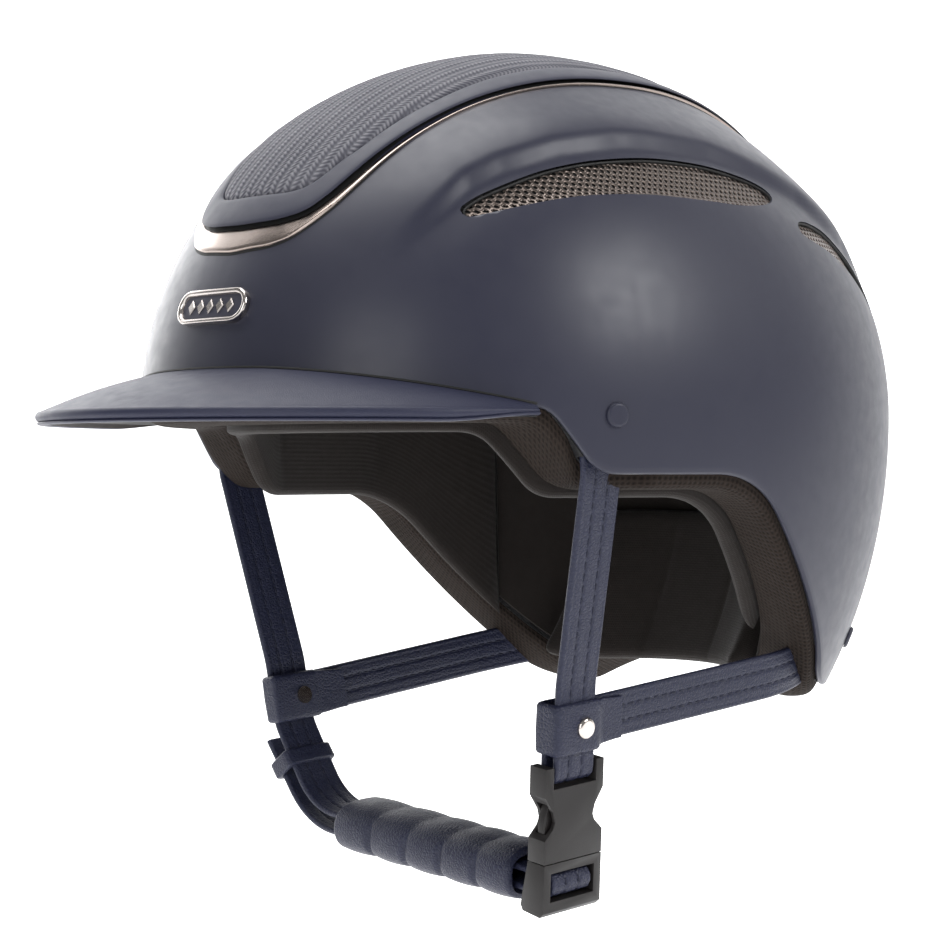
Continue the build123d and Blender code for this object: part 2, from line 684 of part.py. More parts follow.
# ---- Junction sleeves and their rivets ----
def sleeve(inner_face, outer_face, rear_seat):
    """Folded leather sleeve round the crossing straps, open at the back for the rear strap."""
    inner = inner_face - SLEEVE_SLACK
    outer = outer_face + SLEEVE_SLACK
    height = SLEEVE_Y[1] - SLEEVE_Y[0]
    half = STRAP_WIDTH / 2 + SLEEVE_SLACK
    middle = (inner + outer) / 2
    box = Box(2 * (half + SLEEVE_WALL), height, outer - inner + 2 * SLEEVE_WALL)
    box = fillet(box.edges().filter_by(Axis.Y), SLEEVE_WALL)
    hollow = Box(2 * half, height + 1, outer - inner)
    rear_slot = Pos(half, 0, rear_seat - middle) * Box(
        4 * SLEEVE_WALL, height + 1, STRAP_THICK + 4 * SLEEVE_SLACK
    )
    return BUCKLE * (Pos(0, SLEEVE_MID, middle) * (box - hollow - rear_slot))


def junction_shank(radius, inner_face, outer_face):
    """Cylinder through a sleeve at its rivet."""
    length = outer_face - inner_face
    return BUCKLE * (
        Pos(JUNCTION_RIVET_X, SLEEVE_MID, (inner_face + outer_face) / 2) * Cylinder(radius, length)
    )


def junction_rivet(inner_face, outer_face):
    """Domed metal rivet through a sleeve, with a flat tail inside."""
    dome = Cylinder(JUNCTION_HEAD_R, JUNCTION_HEAD_HEIGHT)
    dome = fillet(dome.edges().group_by(Axis.Z)[-1], JUNCTION_HEAD_HEIGHT * 0.8)
    half = JUNCTION_HEAD_HEIGHT / 2
    head = BUCKLE * (Pos(JUNCTION_RIVET_X, SLEEVE_MID, outer_face + half) * dome)
    tail = junction_shank(JUNCTION_HEAD_R - 0.4, inner_face - half, inner_face)
    return head + junction_shank(JUNCTION_RIVET_R, inner_face, outer_face) + tail


# ---- Build and export ----
def save(name, shape):
    """Write one node."""
    export_step(shape, f"parts/{name}.step")


def save_pair(name, shape):
    """Write a left node and its mirror image on the right."""
    save(f"{name}_left", shape)
    save(f"{name}_right", mirrored(shape))


def build_shell():
    """Shell, liner, rim band, grilles, crown panel, badge, peak and shell rivets."""
    solid = shell_body(0)
    inside = shell_body(SHELL_WALL)
    cavity = head_room(0)
    rim = below_rim(0)
    low_rim = below_rim(BAND_HEIGHT)
    front_cut = grille_block(FRONT_GRILLE_TOP, FRONT_GRILLE_END, FRONT_GRILLE_LOW)
    rear_cut = grille_block(REAR_GRILLE_TOP, REAR_GRILLE_LOW, REAR_GRILLE_END)
    grille_layer = shell_body(GRILLE_INSET) - inside
    places = (TEMPLE_RIVET, NAPE_RIVET)
    holes = [shell_rivet_room(p, RIVET_SHANK_R + FASTENER_GAP, -1, RIVET_LENGTH + 1) for p in places]
    wells = [shell_rivet_room(p, WASHER_R + 1, SHELL_WALL, RIVET_LENGTH + 1) for p in places]

    shell = solid - inside - rim
    for cut in [front_cut, rear_cut] + holes:
        shell = shell - cut - mirrored(cut)
    save("outer_shell", shell)
    save_pair("grille_front", grille_layer & front_cut)
    save_pair("grille_rear", grille_layer & rear_cut)

    patches = liner_patches(cavity)
    pockets = strap_pockets() + wells + [mirrored(well) for well in wells]
    liner = inside - cavity - rim
    band = ((inside - cavity) & rim) - low_rim
    for pocket in pockets:
        liner -= pocket
        band -= pocket
    for patch in patches:
        liner -= patch
    save("impact_liner", biggest(liner))
    save("rim_mesh_band", biggest(band))
    save("liner_patches", Compound(patches))

    for place, name in zip(places, ("temple_rivet", "nape_rivet")):
        save_pair(name, shell_rivet(place, solid))
    washers = [rivet_washer(place) for place in places]
    save("rivet_washers", Compound(washers + [mirrored(washer) for washer in washers]))
    build_panel(solid)
    build_badge(solid)
    names = ("peak_cover", "peak_core", "peak_lining", "peak_welt")
    for name, layer in zip(names, peak_layers(solid)):
        save(name, layer)


def biggest(shape):
    """The largest of a shape's solids: cutting can leave crumbs beside a pocket."""
    return shape.solids().sort_by(SortBy.VOLUME)[-1]


def liner_patches(cavity):
    """Hook-and-loop discs let into the liner behind the pads."""
    layer = head_room(-PATCH_THICK) - cavity
    patches = []
    for y in PATCH_SIDE_Y:
        rod = Pos(0, y, PATCH_SIDE_Z) * Rot(0, 90, 0) * Cylinder(PATCH_RADIUS, 2 * REACH)
        patches += (layer & rod).solids()
    rod = Pos(0, WIDEST_Y, PATCH_END_Z) * Rot(90, 0, 0) * Cylinder(PATCH_RADIUS, 2 * REACH)
    patches += (layer & rod).solids()
    return patches


def build_panel(solid):
    """Crown panel frame, its fabric insert, the metallic surround and the intake insert."""
    fabric = panel_region(0, 0, 0)
    frame = panel_region(FRAME_SIDE, FRAME_FRONT, FRAME_SIDE)
    trim = panel_region(FRAME_SIDE + TRIM_SIDE, FRAME_FRONT + TRIM_FRONT, FRAME_SIDE + TRIM_SIDE)
    lip_y = PANEL_CORNERS[0][1] - FRAME_FRONT
    intake = Pos(0, lip_y - INTAKE_GAP - INTAKE_DEPTH / 2, CROWN_RISE) * Box(
        2 * INTAKE_HALF_WIDTH, INTAKE_DEPTH, 2 * CROWN_RISE
    )
    save("top_panel_fabric", (shell_body(-FABRIC_PROUD) - solid) & fabric)
    save("top_panel_frame", ((shell_body(-FRAME_PROUD) - solid) & frame) - fabric)
    trim_layer = ((shell_body(-TRIM_PROUD) - solid) & trim) - frame
    save("trim_surround", trim_layer - intake)
    save("intake_insert", (shell_body(-TRIM_PROUD / 2) - solid) & intake)


def build_badge(solid):
    """Plain pill badge on the brow: a metal rim round a dark plate."""
    height = (BADGE_Z - WIDEST_Z) / CROWN_RISE
    share = sqrt(1 - height * height)
    slope = SHELL_FRONT * height / CROWN_RISE / share
    plane = Plane(
        origin=(0, WIDEST_Y - SHELL_FRONT * share, BADGE_Z),
        x_dir=(1, 0, 0),
        z_dir=(0, -1, slope),
    )
    inner = SlotOverall(BADGE_LENGTH - 2 * BADGE_RIM, BADGE_HEIGHT - 2 * BADGE_RIM)
    depth = Pos(0, 0, -BADGE_PROUD)
    rim = extrude(depth * (SlotOverall(BADGE_LENGTH, BADGE_HEIGHT) - inner), amount=2 * BADGE_PROUD)
    plate = extrude(depth * inner, amount=BADGE_PROUD + BADGE_PLATE_PROUD)
    save("badge_rim", plane * rim - solid)
    save("badge_plate", plane * plate - solid)


def build_pads():
    """Headband, crown pad and nape pad inside the liner."""
    cavity = head_room(0)
    band_room = Pos(0, HEADBAND_BACK_Y - REACH, HEADBAND_TOP_Z - REACH) * Box(
        2 * REACH, 2 * REACH, 2 * REACH
    )
    headband = ((cavity - head_room(HEADBAND_THICK)) & band_room) - below_rim(HEADBAND_DROP)
    save("headband_pad", headband)
    low, high = NAPE_PAD_Z
    nape_room = Pos(0, HEADBAND_BACK_Y + 4 + REACH / 2, (low + high) / 2) * Box(
        2 * NAPE_PAD_HALF_WIDTH, REACH, high - low
    )
    save("nape_pad", (cavity - head_room(NAPE_PAD_THICK)) & nape_room)
    crown_room = Pos(0, sum(CROWN_PAD_Y) / 2, CROWN_PAD_Z + REACH / 2) * Box(
        2 * CROWN_PAD_HALF_WIDTH, CROWN_PAD_Y[1] - CROWN_PAD_Y[0], REACH
    )
    save("crown_pad", (cavity - head_room(CROWN_PAD_THICK)) & crown_room)


def build_harness():
    """Straps, sleeves, rivets, buckle, chin strap, chin pad and keeper."""
    hole = RIVET_SHANK_R + FASTENER_GAP
    temple_hole = shell_rivet_room(TEMPLE_RIVET, hole, -1, RIVET_LENGTH + 2)
    nape_hole = shell_rivet_room(NAPE_RIVET, hole, -1, RIVET_LENGTH + 2)
    left_faces = (-TOP_TURN - HALF_THICK, TOP_TURN + HALF_THICK)
    right_faces = (RIGHT_REAR_SEAT - HALF_THICK, RIGHT_FRONT_SEAT + HALF_THICK)
    reach = SLEEVE_SLACK + SLEEVE_WALL
    shank = junction_shank(JUNCTION_RIVET_R + FASTENER_GAP, -2 * SLEEVE_WALL - 9, 9)

    save("front_strap_left", HARNESS * (front_strap_left() - shank) - temple_hole)
    save("front_strap_right", HARNESS * (front_strap_right() - mirrored(shank)) - mirrored(temple_hole))
    washer_start = RIVET_LENGTH - WASHER_THICK
    nape_seat = shell_rivet_room(NAPE_RIVET, WASHER_R + FASTENER_GAP, washer_start, RIVET_LENGTH + 2)
    rear_left = HARNESS * (rear_strap(0) - shank) - nape_hole - nape_seat
    rear_right = HARNESS * (rear_strap(RIGHT_REAR_SEAT) - shank) - nape_hole - nape_seat
    save("rear_strap_left", rear_left)
    save("rear_strap_right", mirrored(rear_right))

    sleeve_left = sleeve(*left_faces, 0) - shank
    sleeve_right = sleeve(*right_faces, RIGHT_REAR_SEAT) - shank
    save("junction_sleeve_left", HARNESS * sleeve_left)
    save("junction_sleeve_right", mirrored(HARNESS * sleeve_right))
    rivet_left = junction_rivet(left_faces[0] - reach, left_faces[1] + reach)
    rivet_right = junction_rivet(right_faces[0] - reach, right_faces[1] + reach)
    rivets = [HARNESS * rivet_left, mirrored(HARNESS * rivet_right)]
    save("junction_rivets", Compound(rivets))

    save("buckle_female", HARNESS * buckle_female())
    save("buckle_male", HARNESS * buckle_male())
    save("buckle_arm_front", HARNESS * buckle_arm(-1))
    save("buckle_arm_rear", HARNESS * buckle_arm(1))
    save("chin_strap", HARNESS * chin_strap())
    save("chin_pad", HARNESS * chin_pad())
    save("strap_keeper", HARNESS * strap_keeper())


os.makedirs("parts", exist_ok=True)
build_harness()
build_pads()
build_shell()
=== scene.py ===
"""Looks of a riding helmet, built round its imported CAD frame.

Sizes are millimetres in the classes and are scaled to metres when a mesh is made. +Z is up, the
peak points towards -Y and the wearer's left is +X, as in the frame.
"""
import logging
import math
from dataclasses import dataclass, field
from enum import Enum

import bmesh
import bpy
import numpy as np
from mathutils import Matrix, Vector


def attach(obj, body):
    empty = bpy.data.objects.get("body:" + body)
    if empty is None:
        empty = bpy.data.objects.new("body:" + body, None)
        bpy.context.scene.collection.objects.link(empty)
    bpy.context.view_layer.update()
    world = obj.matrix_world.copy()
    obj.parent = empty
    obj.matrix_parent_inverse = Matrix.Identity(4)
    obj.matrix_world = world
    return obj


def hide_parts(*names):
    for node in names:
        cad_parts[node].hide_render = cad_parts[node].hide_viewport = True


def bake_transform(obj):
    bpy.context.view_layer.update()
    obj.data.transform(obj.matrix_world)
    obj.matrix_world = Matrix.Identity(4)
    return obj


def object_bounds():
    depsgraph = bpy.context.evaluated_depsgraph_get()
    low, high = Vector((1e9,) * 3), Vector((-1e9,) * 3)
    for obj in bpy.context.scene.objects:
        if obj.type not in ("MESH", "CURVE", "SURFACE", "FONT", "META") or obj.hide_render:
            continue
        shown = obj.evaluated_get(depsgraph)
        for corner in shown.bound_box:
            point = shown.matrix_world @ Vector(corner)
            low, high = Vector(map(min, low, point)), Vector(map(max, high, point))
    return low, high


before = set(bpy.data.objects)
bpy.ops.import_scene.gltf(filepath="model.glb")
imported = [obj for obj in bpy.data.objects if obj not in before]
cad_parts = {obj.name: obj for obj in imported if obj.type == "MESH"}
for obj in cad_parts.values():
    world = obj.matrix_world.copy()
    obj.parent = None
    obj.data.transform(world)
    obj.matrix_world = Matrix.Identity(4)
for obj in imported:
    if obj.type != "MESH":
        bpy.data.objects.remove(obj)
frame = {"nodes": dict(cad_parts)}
CAD_BOX = [list(corner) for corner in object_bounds()]

LOG = logging.getLogger("helmet")
MM = 0.001
Array = np.ndarray


# ---------------------------------------------------------------- small numeric helpers
def smooth(low: float, high: float, value: Array) -> Array:
    """Smooth step: 0 below low, 1 above high and 3t^2 - 2t^3 between them."""
    share = np.clip((value - low) / (high - low), 0, 1)
    return share * share * (3 - 2 * share)


def unit(vectors: Array) -> Array:
    """Vectors of the last axis divided by their own length."""
    return vectors / np.maximum(np.linalg.norm(vectors, axis=-1, keepdims=True), 1e-12)


def resample(points: Array, count: int, closed: bool = False) -> Array:
    """Points evenly spaced by length along a polyline.

    Args:
        points: Polyline, one row each.
        count: Number of points wanted.
        closed: Whether the last point joins the first.

    Returns:
        The new points, count rows.
    """
    line = np.vstack([points, points[:1]]) if closed else points
    steps = np.linalg.norm(np.diff(line, axis=0), axis=1)
    distance = np.concatenate([[0], np.cumsum(steps)])
    wanted = np.linspace(0, distance[-1], count, endpoint=not closed)
    return np.stack([np.interp(wanted, distance, column) for column in line.T], axis=1)


def filleted(corners: list, radii: list, closed: bool = False) -> Array:
    """Polyline whose corners are rounded by tangent arcs.

    At each corner the arc of radius r starts r*tan(turn/2) before the corner, and its points are
    the centre plus r times the unit vectors between the two normals.

    Args:
        corners: (a, b) points.
        radii: One radius for each rounded corner.
        closed: Whether the line closes, in which case every corner is rounded.

    Returns:
        Points of the line in order.
    """
    points = np.array(corners, float)
    count = len(points)
    line = [] if closed else [points[:1]]
    for order, radius in enumerate(radii):
        index = order if closed else order + 1
        before = unit(points[index] - points[index - 1])
        after = unit(points[(index + 1) % count] - points[index])
        turn = math.acos(float(np.clip(before @ after, -1, 1)))
        if turn < 1e-4:
            line.append(points[index : index + 1])
            continue
        bisector = unit(after - before)
        centre = points[index] + bisector * radius / math.cos(turn / 2)
        reach = radius * math.tan(turn / 2)
        start = points[index] - before * reach - centre
        end = points[index] + after * reach - centre
        share = np.linspace(0, 1, 17)[:, None]
        angle = share * turn
        arc = (start * np.sin(turn - angle) + end * np.sin(angle)) / math.sin(turn)
        line.append(centre + arc)
    if not closed:
        line.append(points[-1:])
    return np.vstack(line)


def closed_curve(points: list, spans: int = 16) -> Array:
    """Closed Catmull-Rom curve: each span is the cubic through two points with the slopes set by
    their neighbours, sampled spans times.
    """
    knots = np.array(points, float)
    share = np.linspace(0, 1, spans, endpoint=False)[:, None, None]
    before, after = np.roll(knots, 1, 0), np.roll(knots, -1, 0)
    later = np.roll(knots, -2, 0)
    curve = 0.5 * (
        2 * knots
        + (after - before) * share
        + (2 * before - 5 * knots + 4 * after - later) * share**2
        + (3 * knots - before - 3 * after + later) * share**3
    )
    return curve.transpose(1, 0, 2).reshape(-1, 2)


def stadium(width: float, thick: float, flats: int = 24, rounds: int = 8) -> Array:
    """Loop with two flats and two half-round ends, anticlockwise from the lower flat.

    Args:
        width: Whole width.
        thick: Whole thickness, which is twice the end radius.
        flats: Spans on each flat.
        rounds: Spans on each end.

    Returns:
        (across, through) rows.
    """
    radius = thick / 2
    reach = width / 2 - radius
    flat = np.linspace(-reach, reach, flats, endpoint=False)
    turn = np.linspace(-math.pi / 2, math.pi / 2, rounds, endpoint=False)
    low = np.stack([flat, np.full(flats, -radius)], 1)
    right = np.stack([reach + radius * np.cos(turn), radius * np.sin(turn)], 1)
    return np.vstack([low, right, -low, -right])


def sheet_normals(points: Array) -> Array:
    """Unit normals of a grid surface: the cross product of its two difference directions."""
    return unit(np.cross(np.gradient(points, axis=1), np.gradient(points, axis=0)))


# ---------------------------------------------------------------- meshes
@dataclass
class Skin:
    """Mesh data gathered from grids before it becomes one piece."""

    points: list = field(default_factory=list)
    faces: list = field(default_factory=list)
    corners: list = field(default_factory=list)
    finishes: list = field(default_factory=list)
    total: int = 0

    def grid(self, points: Array, wrap: tuple = (False, False), caps: bool = False,
             uv: Array | None = None, finish: int = 0) -> "Skin":
        """Adds a grid of points as quads.

        Args:
            points: Array (rows, columns, 3) in millimetres.
            wrap: Whether rows and columns close on themselves.
            caps: Whether the first and last row are closed by a fan to their middle.
            uv: Array (rows + 1, columns + 1, 2) of surface distances in millimetres.
            finish: Index of the material.

        Returns:
            This skin.
        """
        rows, columns = points.shape[:2]
        row = np.arange(rows if wrap[0] else rows - 1)[:, None]
        column = np.arange(columns if wrap[1] else columns - 1)[None, :]
        around = [(row, column), (row, column + 1), (row + 1, column + 1), (row + 1, column)]
        quads = np.stack([(r % rows) * columns + c % columns for r, c in around], -1).reshape(-1, 4)
        if uv is None:
            corners = np.zeros((len(quads), 4, 2))
        else:
            corners = np.stack([uv[r, c] for r, c in around], -2).reshape(-1, 4, 2)
        self.points.append(points.reshape(-1, 3))
        self.faces += (quads + self.total).tolist()
        self.corners.append(corners.reshape(-1, 2) * MM)
        self.finishes.append(np.full(len(quads), finish))
        first = self.total
        self.total += rows * columns
        if caps:
            for start, loop in ((first, points[0]), (first + (rows - 1) * columns, points[-1])):
                self.fan(start, loop, corners.reshape(-1, 2)[0] * MM, finish)
        return self

    def fan(self, start: int, loop: Array, corner: Array, finish: int) -> None:
        """Closes a loop of points that begins at index start with triangles to its middle."""
        count = len(loop)
        ring = start + np.arange(count)
        centre = np.full(count, self.total)
        self.points.append(loop.mean(0)[None])
        self.faces += np.stack([ring, np.roll(ring, -1), centre], 1).tolist()
        self.corners.append(np.tile(corner, (count * 3, 1)))
        self.finishes.append(np.full(count, finish))
        self.total += 1

    def copies(self, shape: Array, quads: Array, places: Array, axes: Array, finish: int) -> "Skin":
        """Adds one copy of a small shape at each place, turned to that place's three axes.

        A copy's points are the place plus the shape's coordinates times the axes.
        """
        points = places[:, None] + np.einsum("vi,kij->kvj", shape, axes)
        step = np.arange(len(places))[:, None, None] * len(shape)
        faces = (quads[None] + step).reshape(-1, 4) + self.total
        self.points.append(points.reshape(-1, 3))
        self.faces += faces.tolist()
        self.corners.append(np.zeros((len(faces) * 4, 2)))
        self.finishes.append(np.full(len(faces), finish))
        self.total += points.shape[0] * points.shape[1]
        return self

    def mirrored(self) -> "Skin":
        """The same skin on the wearer's right, with its faces turned to point outwards."""
        other = Skin(finishes=list(self.finishes), total=self.total)
        other.points = [points * np.array([-1, 1, 1]) for points in self.points]
        other.faces = [face[::-1] for face in self.faces]
        sizes = np.array([len(face) for face in self.faces])
        corners = np.vstack(self.corners)
        ends = np.cumsum(sizes)
        order = np.concatenate([np.arange(e - 1, e - s - 1, -1) for e, s in zip(ends, sizes)])
        other.corners = [corners[order]]
        return other

    def piece(self, name: str, finishes: list, sharp: float = 40, recalc: bool = True) -> bpy.types.Object:
        """Makes the object, smooth shaded with edges sharper than an angle kept crisp.

        Args:
            name: Name of the piece.
            finishes: Materials in the order of their indices.
            sharp: Angle in degrees past which an edge is crisp.
            recalc: Whether faces are turned outwards.

        Returns:
            The new object, at the origin.
        """
        mesh = bpy.data.meshes.new(name)
        mesh.from_pydata((np.vstack(self.points) * MM).tolist(), [], self.faces)
        layer = mesh.uv_layers.new(name="Surface")
        layer.data.foreach_set("uv", np.vstack(self.corners).astype(np.float32).ravel())
        mesh.polygons.foreach_set("material_index", np.concatenate(self.finishes).astype(np.int32))
        for finish in finishes:
            mesh.materials.append(finish)
        body = bmesh.new()
        body.from_mesh(mesh)
        bmesh.ops.remove_doubles(body, verts=body.verts, dist=0.004 * MM)
        if recalc:
            bmesh.ops.recalc_face_normals(body, faces=body.faces)
        body.to_mesh(mesh)
        body.free()
        mesh.polygons.foreach_set("use_smooth", np.ones(len(mesh.polygons), bool))
        mesh.set_sharp_from_angle(angle=math.radians(sharp))
        obj = bpy.data.objects.new(name, mesh)
        bpy.context.scene.collection.objects.link(obj)
        return obj


def settle(obj: bpy.types.Object, body: str, slot: str, *nodes: str) -> bpy.types.Object:
    """Puts a piece on its body and hides the CAD nodes it stands for."""
    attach(obj, body)
    if nodes:
        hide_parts(*nodes)
    LOG.info("%s: %d faces", obj.name, len(obj.data.polygons))
    return obj


def apply_modifiers(obj: bpy.types.Object) -> None:
    """Swaps the mesh for the one its modifiers give, and clears them."""
    graph = bpy.context.evaluated_depsgraph_get()
    mesh = bpy.data.meshes.new_from_object(obj.evaluated_get(graph))
    obj.modifiers.clear()
    obj.data = mesh


# ---------------------------------------------------------------- finishes
class Grain(Enum):
    """Surface patterns, each with its own relief."""

    PAINT = "fine spray texture"
    LEATHER = "pebbled hide"
    KNIT = "ribs with chevron stitches"
    MESH = "open honeycomb textile"
    JERSEY = "brushed fine knit"
    BEADS = "fused foam beads"
    MOULDED = "spark-eroded plastic"
    BRUSHED = "satin metal"
    POLISHED = "bright metal"
    THREAD = "twisted thread"


@dataclass(frozen=True)
class Finish:
    """One material: colours, gloss and the relief of its grain."""

    name: str
    colour: tuple
    second: tuple
    roughness: float
    grain: Grain
    scale: float
    relief: float
    metallic: float = 0.0
    coat: float = 0.0
    coat_roughness: float = 0.3
    sheen: float = 0.0
    specular: float = 0.30
    # Share by which sharp convex edges are lightened.
    edge_lightening: float = 0.0

    def build(self) -> bpy.types.Material:
        """Makes the material with Object or surface coordinates and a bump of its relief."""
        material = bpy.data.materials.new(self.name)
        material.use_nodes = True
        tree = material.node_tree
        shader = tree.nodes["Principled BSDF"]
        shader.inputs["Metallic"].default_value = self.metallic
        shader.inputs["Coat Weight"].default_value = self.coat
        shader.inputs["Coat Roughness"].default_value = self.coat_roughness
        shader.inputs["Sheen Weight"].default_value = self.sheen
        shader.inputs["Specular IOR Level"].default_value = self.specular
        coordinates = tree.nodes.new("ShaderNodeTexCoord")
        where = coordinates.outputs["Object"]
        surface = coordinates.outputs["UV"]
        height, shade = PATTERNS[self.grain](tree, where, surface, self.scale)
        cloud = noise(tree, where, 38.0, 3.0)
        tone = math_node(tree, "ADD", math_node(tree, "MULTIPLY", cloud, 0.45), shade)
        # Colour lighter on sharp convex edges, where the surface's pointiness is high.
        if self.edge_lightening:
            geometry = tree.nodes.new("ShaderNodeNewGeometry")
            edge = remap(tree, geometry.outputs["Pointiness"], 0.52, 0.60)
            tone = math_node(tree, "ADD", tone, math_node(tree, "MULTIPLY", edge, self.edge_lightening))
        colour = tree.nodes.new("ShaderNodeMix")
        colour.data_type = "RGBA"
        colour.inputs[6].default_value = (*self.colour, 1)
        colour.inputs[7].default_value = (*self.second, 1)
        tree.links.new(tone, colour.inputs[0])
        tree.links.new(colour.outputs[2], shader.inputs["Base Color"])
        rough = remap(tree, noise(tree, where, 210.0, 2.0), 0.2, 0.8)
        rough = math_node(tree, "MULTIPLY_ADD", rough, 0.10, self.roughness - 0.05)
        tree.links.new(rough, shader.inputs["Roughness"])
        bump = tree.nodes.new("ShaderNodeBump")
        bump.inputs["Distance"].default_value = self.relief * MM
        bump.inputs["Strength"].default_value = 1.0
        tree.links.new(height, bump.inputs["Height"])
        tree.links.new(bump.outputs["Normal"], shader.inputs["Normal"])
        return material


def math_node(tree: bpy.types.NodeTree, kind: str, *values) -> bpy.types.NodeSocket:
    """Output of a Math node whose inputs are sockets or numbers."""
    node = tree.nodes.new("ShaderNodeMath")
    node.operation = kind
    for index, value in enumerate(values):
        if isinstance(value, bpy.types.NodeSocket):
            tree.links.new(value, node.inputs[index])
        else:
            node.inputs[index].default_value = value
    return node.outputs[0]


def remap(tree: bpy.types.NodeTree, value: bpy.types.NodeSocket, low: float, high: float):
    """Value stretched so that low becomes 0 and high becomes 1, held between them."""
    node = tree.nodes.new("ShaderNodeMapRange")
    node.inputs["From Min"].default_value = low
    node.inputs["From Max"].default_value = high
    tree.links.new(value, node.inputs["Value"])
    return node.outputs["Result"]


def noise(tree: bpy.types.NodeTree, where: bpy.types.NodeSocket, scale: float, detail: float):
    """Fractal noise at a scale in cells for each metre."""
    node = tree.nodes.new("ShaderNodeTexNoise")
    node.inputs["Scale"].default_value = scale
    node.inputs["Detail"].default_value = detail
    tree.links.new(where, node.inputs["Vector"])
    return node.outputs["Fac"]


def cells(tree: bpy.types.NodeTree, where: bpy.types.NodeSocket, scale: float, kind: str = "F1",
          random: float = 1.0):
    """Distance output of a Voronoi texture, kind F1, SMOOTH_F1 or DISTANCE_TO_EDGE."""
    node = tree.nodes.new("ShaderNodeTexVoronoi")
    node.feature = kind
    node.inputs["Scale"].default_value = scale
    node.inputs["Randomness"].default_value = random
    tree.links.new(where, node.inputs["Vector"])
    return node.outputs["Distance"]


def split(tree: bpy.types.NodeTree, where: bpy.types.NodeSocket) -> tuple:
    """The first two coordinates of a vector."""
    node = tree.nodes.new("ShaderNodeSeparateXYZ")
    tree.links.new(where, node.inputs[0])
    return node.outputs[0], node.outputs[1]


def wave(tree: bpy.types.NodeTree, value, pitch: float) -> bpy.types.NodeSocket:
    """Sine of a distance, one turn for each pitch in metres, moved to lie between 0 and 1."""
    turned = math_node(tree, "SINE", math_node(tree, "MULTIPLY", value, math.tau / pitch))
    return math_node(tree, "MULTIPLY_ADD", turned, 0.5, 0.5)


def paint_grain(tree, where, surface, scale: float) -> tuple:
    """Spray texture: very fine noise as the height, no shade of its own."""
    fine = noise(tree, where, scale, 2.0)
    return fine, math_node(tree, "MULTIPLY", fine, 0.15)


def leather_grain(tree, where, surface, scale: float) -> tuple:
    """Hide: pebbles from the distance to cell edges plus fine creases, darker in the creases."""
    pebble = remap(tree, cells(tree, where, scale, "DISTANCE_TO_EDGE"), 0.0, 0.22)
    crease = noise(tree, where, scale * 2.4, 4.0)
    height = math_node(tree, "ADD", math_node(tree, "MULTIPLY", pebble, 0.7), math_node(tree, "MULTIPLY", crease, 0.5))
    return height, math_node(tree, "MULTIPLY", pebble, 0.30)


def knit_grain(tree, where, surface, scale: float) -> tuple:
    """Ribs across the first surface coordinate; stitches run along the second and lean one way on
    one half of a rib and the other way on the other half.
    """
    across, along = split(tree, surface)
    pitch = 1.0 / scale
    rib = wave(tree, across, pitch / 2)
    lean = math_node(tree, "PINGPONG", across, pitch / 2)
    stitch = wave(tree, math_node(tree, "MULTIPLY_ADD", lean, 0.60, along), pitch / 3.6)
    height = math_node(tree, "MULTIPLY_ADD", stitch, 0.55, rib)
    shade = math_node(tree, "MULTIPLY", math_node(tree, "MULTIPLY", stitch, rib), 0.9)
    return height, shade


def mesh_grain(tree, where, surface, scale: float) -> tuple:
    """Open textile: a regular cell pattern on the surface with dark hollows."""
    hollow = remap(tree, cells(tree, surface, scale, "F1", 0.12), 0.10, 0.48)
    fuzz = noise(tree, where, scale * 3.0, 2.0)
    return math_node(tree, "MULTIPLY_ADD", fuzz, 0.3, hollow), math_node(tree, "MULTIPLY", hollow, 0.7)


def jersey_grain(tree, where, surface, scale: float) -> tuple:
    """Fine knit: short crossed waves on the surface with a brushed fuzz."""
    across, along = split(tree, surface)
    loop = math_node(tree, "MULTIPLY", wave(tree, across, 1 / scale), wave(tree, along, 0.7 / scale))
    fuzz = noise(tree, where, scale * 1.6, 4.0)
    return math_node(tree, "MULTIPLY_ADD", fuzz, 0.9, loop), math_node(tree, "MULTIPLY", fuzz, 0.4)


def bead_grain(tree, where, surface, scale: float) -> tuple:
    """Foam: rounded beads from smooth cells, with thin dark seams between them."""
    bead = remap(tree, cells(tree, where, scale, "DISTANCE_TO_EDGE"), 0.0, 0.16)
    return bead, math_node(tree, "MULTIPLY", bead, 0.5)


def moulded_grain(tree, where, surface, scale: float) -> tuple:
    """Plastic from a textured mould: fine noise with a few broader swellings."""
    fine = noise(tree, where, scale, 3.0)
    broad = noise(tree, where, scale * 0.12, 2.0)
    return math_node(tree, "MULTIPLY_ADD", broad, 0.3, fine), math_node(tree, "MULTIPLY", fine, 0.3)


def metal_grain(tree, where, surface, scale: float) -> tuple:
    """Metal: faint even noise."""
    fine = noise(tree, where, scale, 2.0)
    return fine, math_node(tree, "MULTIPLY", fine, 0.25)


def thread_grain(tree, where, surface, scale: float) -> tuple:
    """Thread: close diagonal twist."""
    across, along = split(tree, where)
    twist = wave(tree, math_node(tree, "ADD", across, along), 1 / scale)
    return twist, math_node(tree, "MULTIPLY", twist, 0.5)


PATTERNS = {
    Grain.PAINT: paint_grain,
    Grain.LEATHER: leather_grain,
    Grain.KNIT: knit_grain,
    Grain.MESH: mesh_grain,
    Grain.JERSEY: jersey_grain,
    Grain.BEADS: bead_grain,
    Grain.MOULDED: moulded_grain,
    Grain.BRUSHED: metal_grain,
    Grain.POLISHED: metal_grain,
    Grain.THREAD: thread_grain,
}


@dataclass
class Finishes:
    """Every finish of the helmet, built once."""

    made: dict = field(default_factory=dict)

    def get(self, name: str) -> bpy.types.Material:
        """The built material of a named finish."""
        if name not in self.made:
            self.made[name] = next(f for f in FINISHES if f.name == name).build()
        return self.made[name]


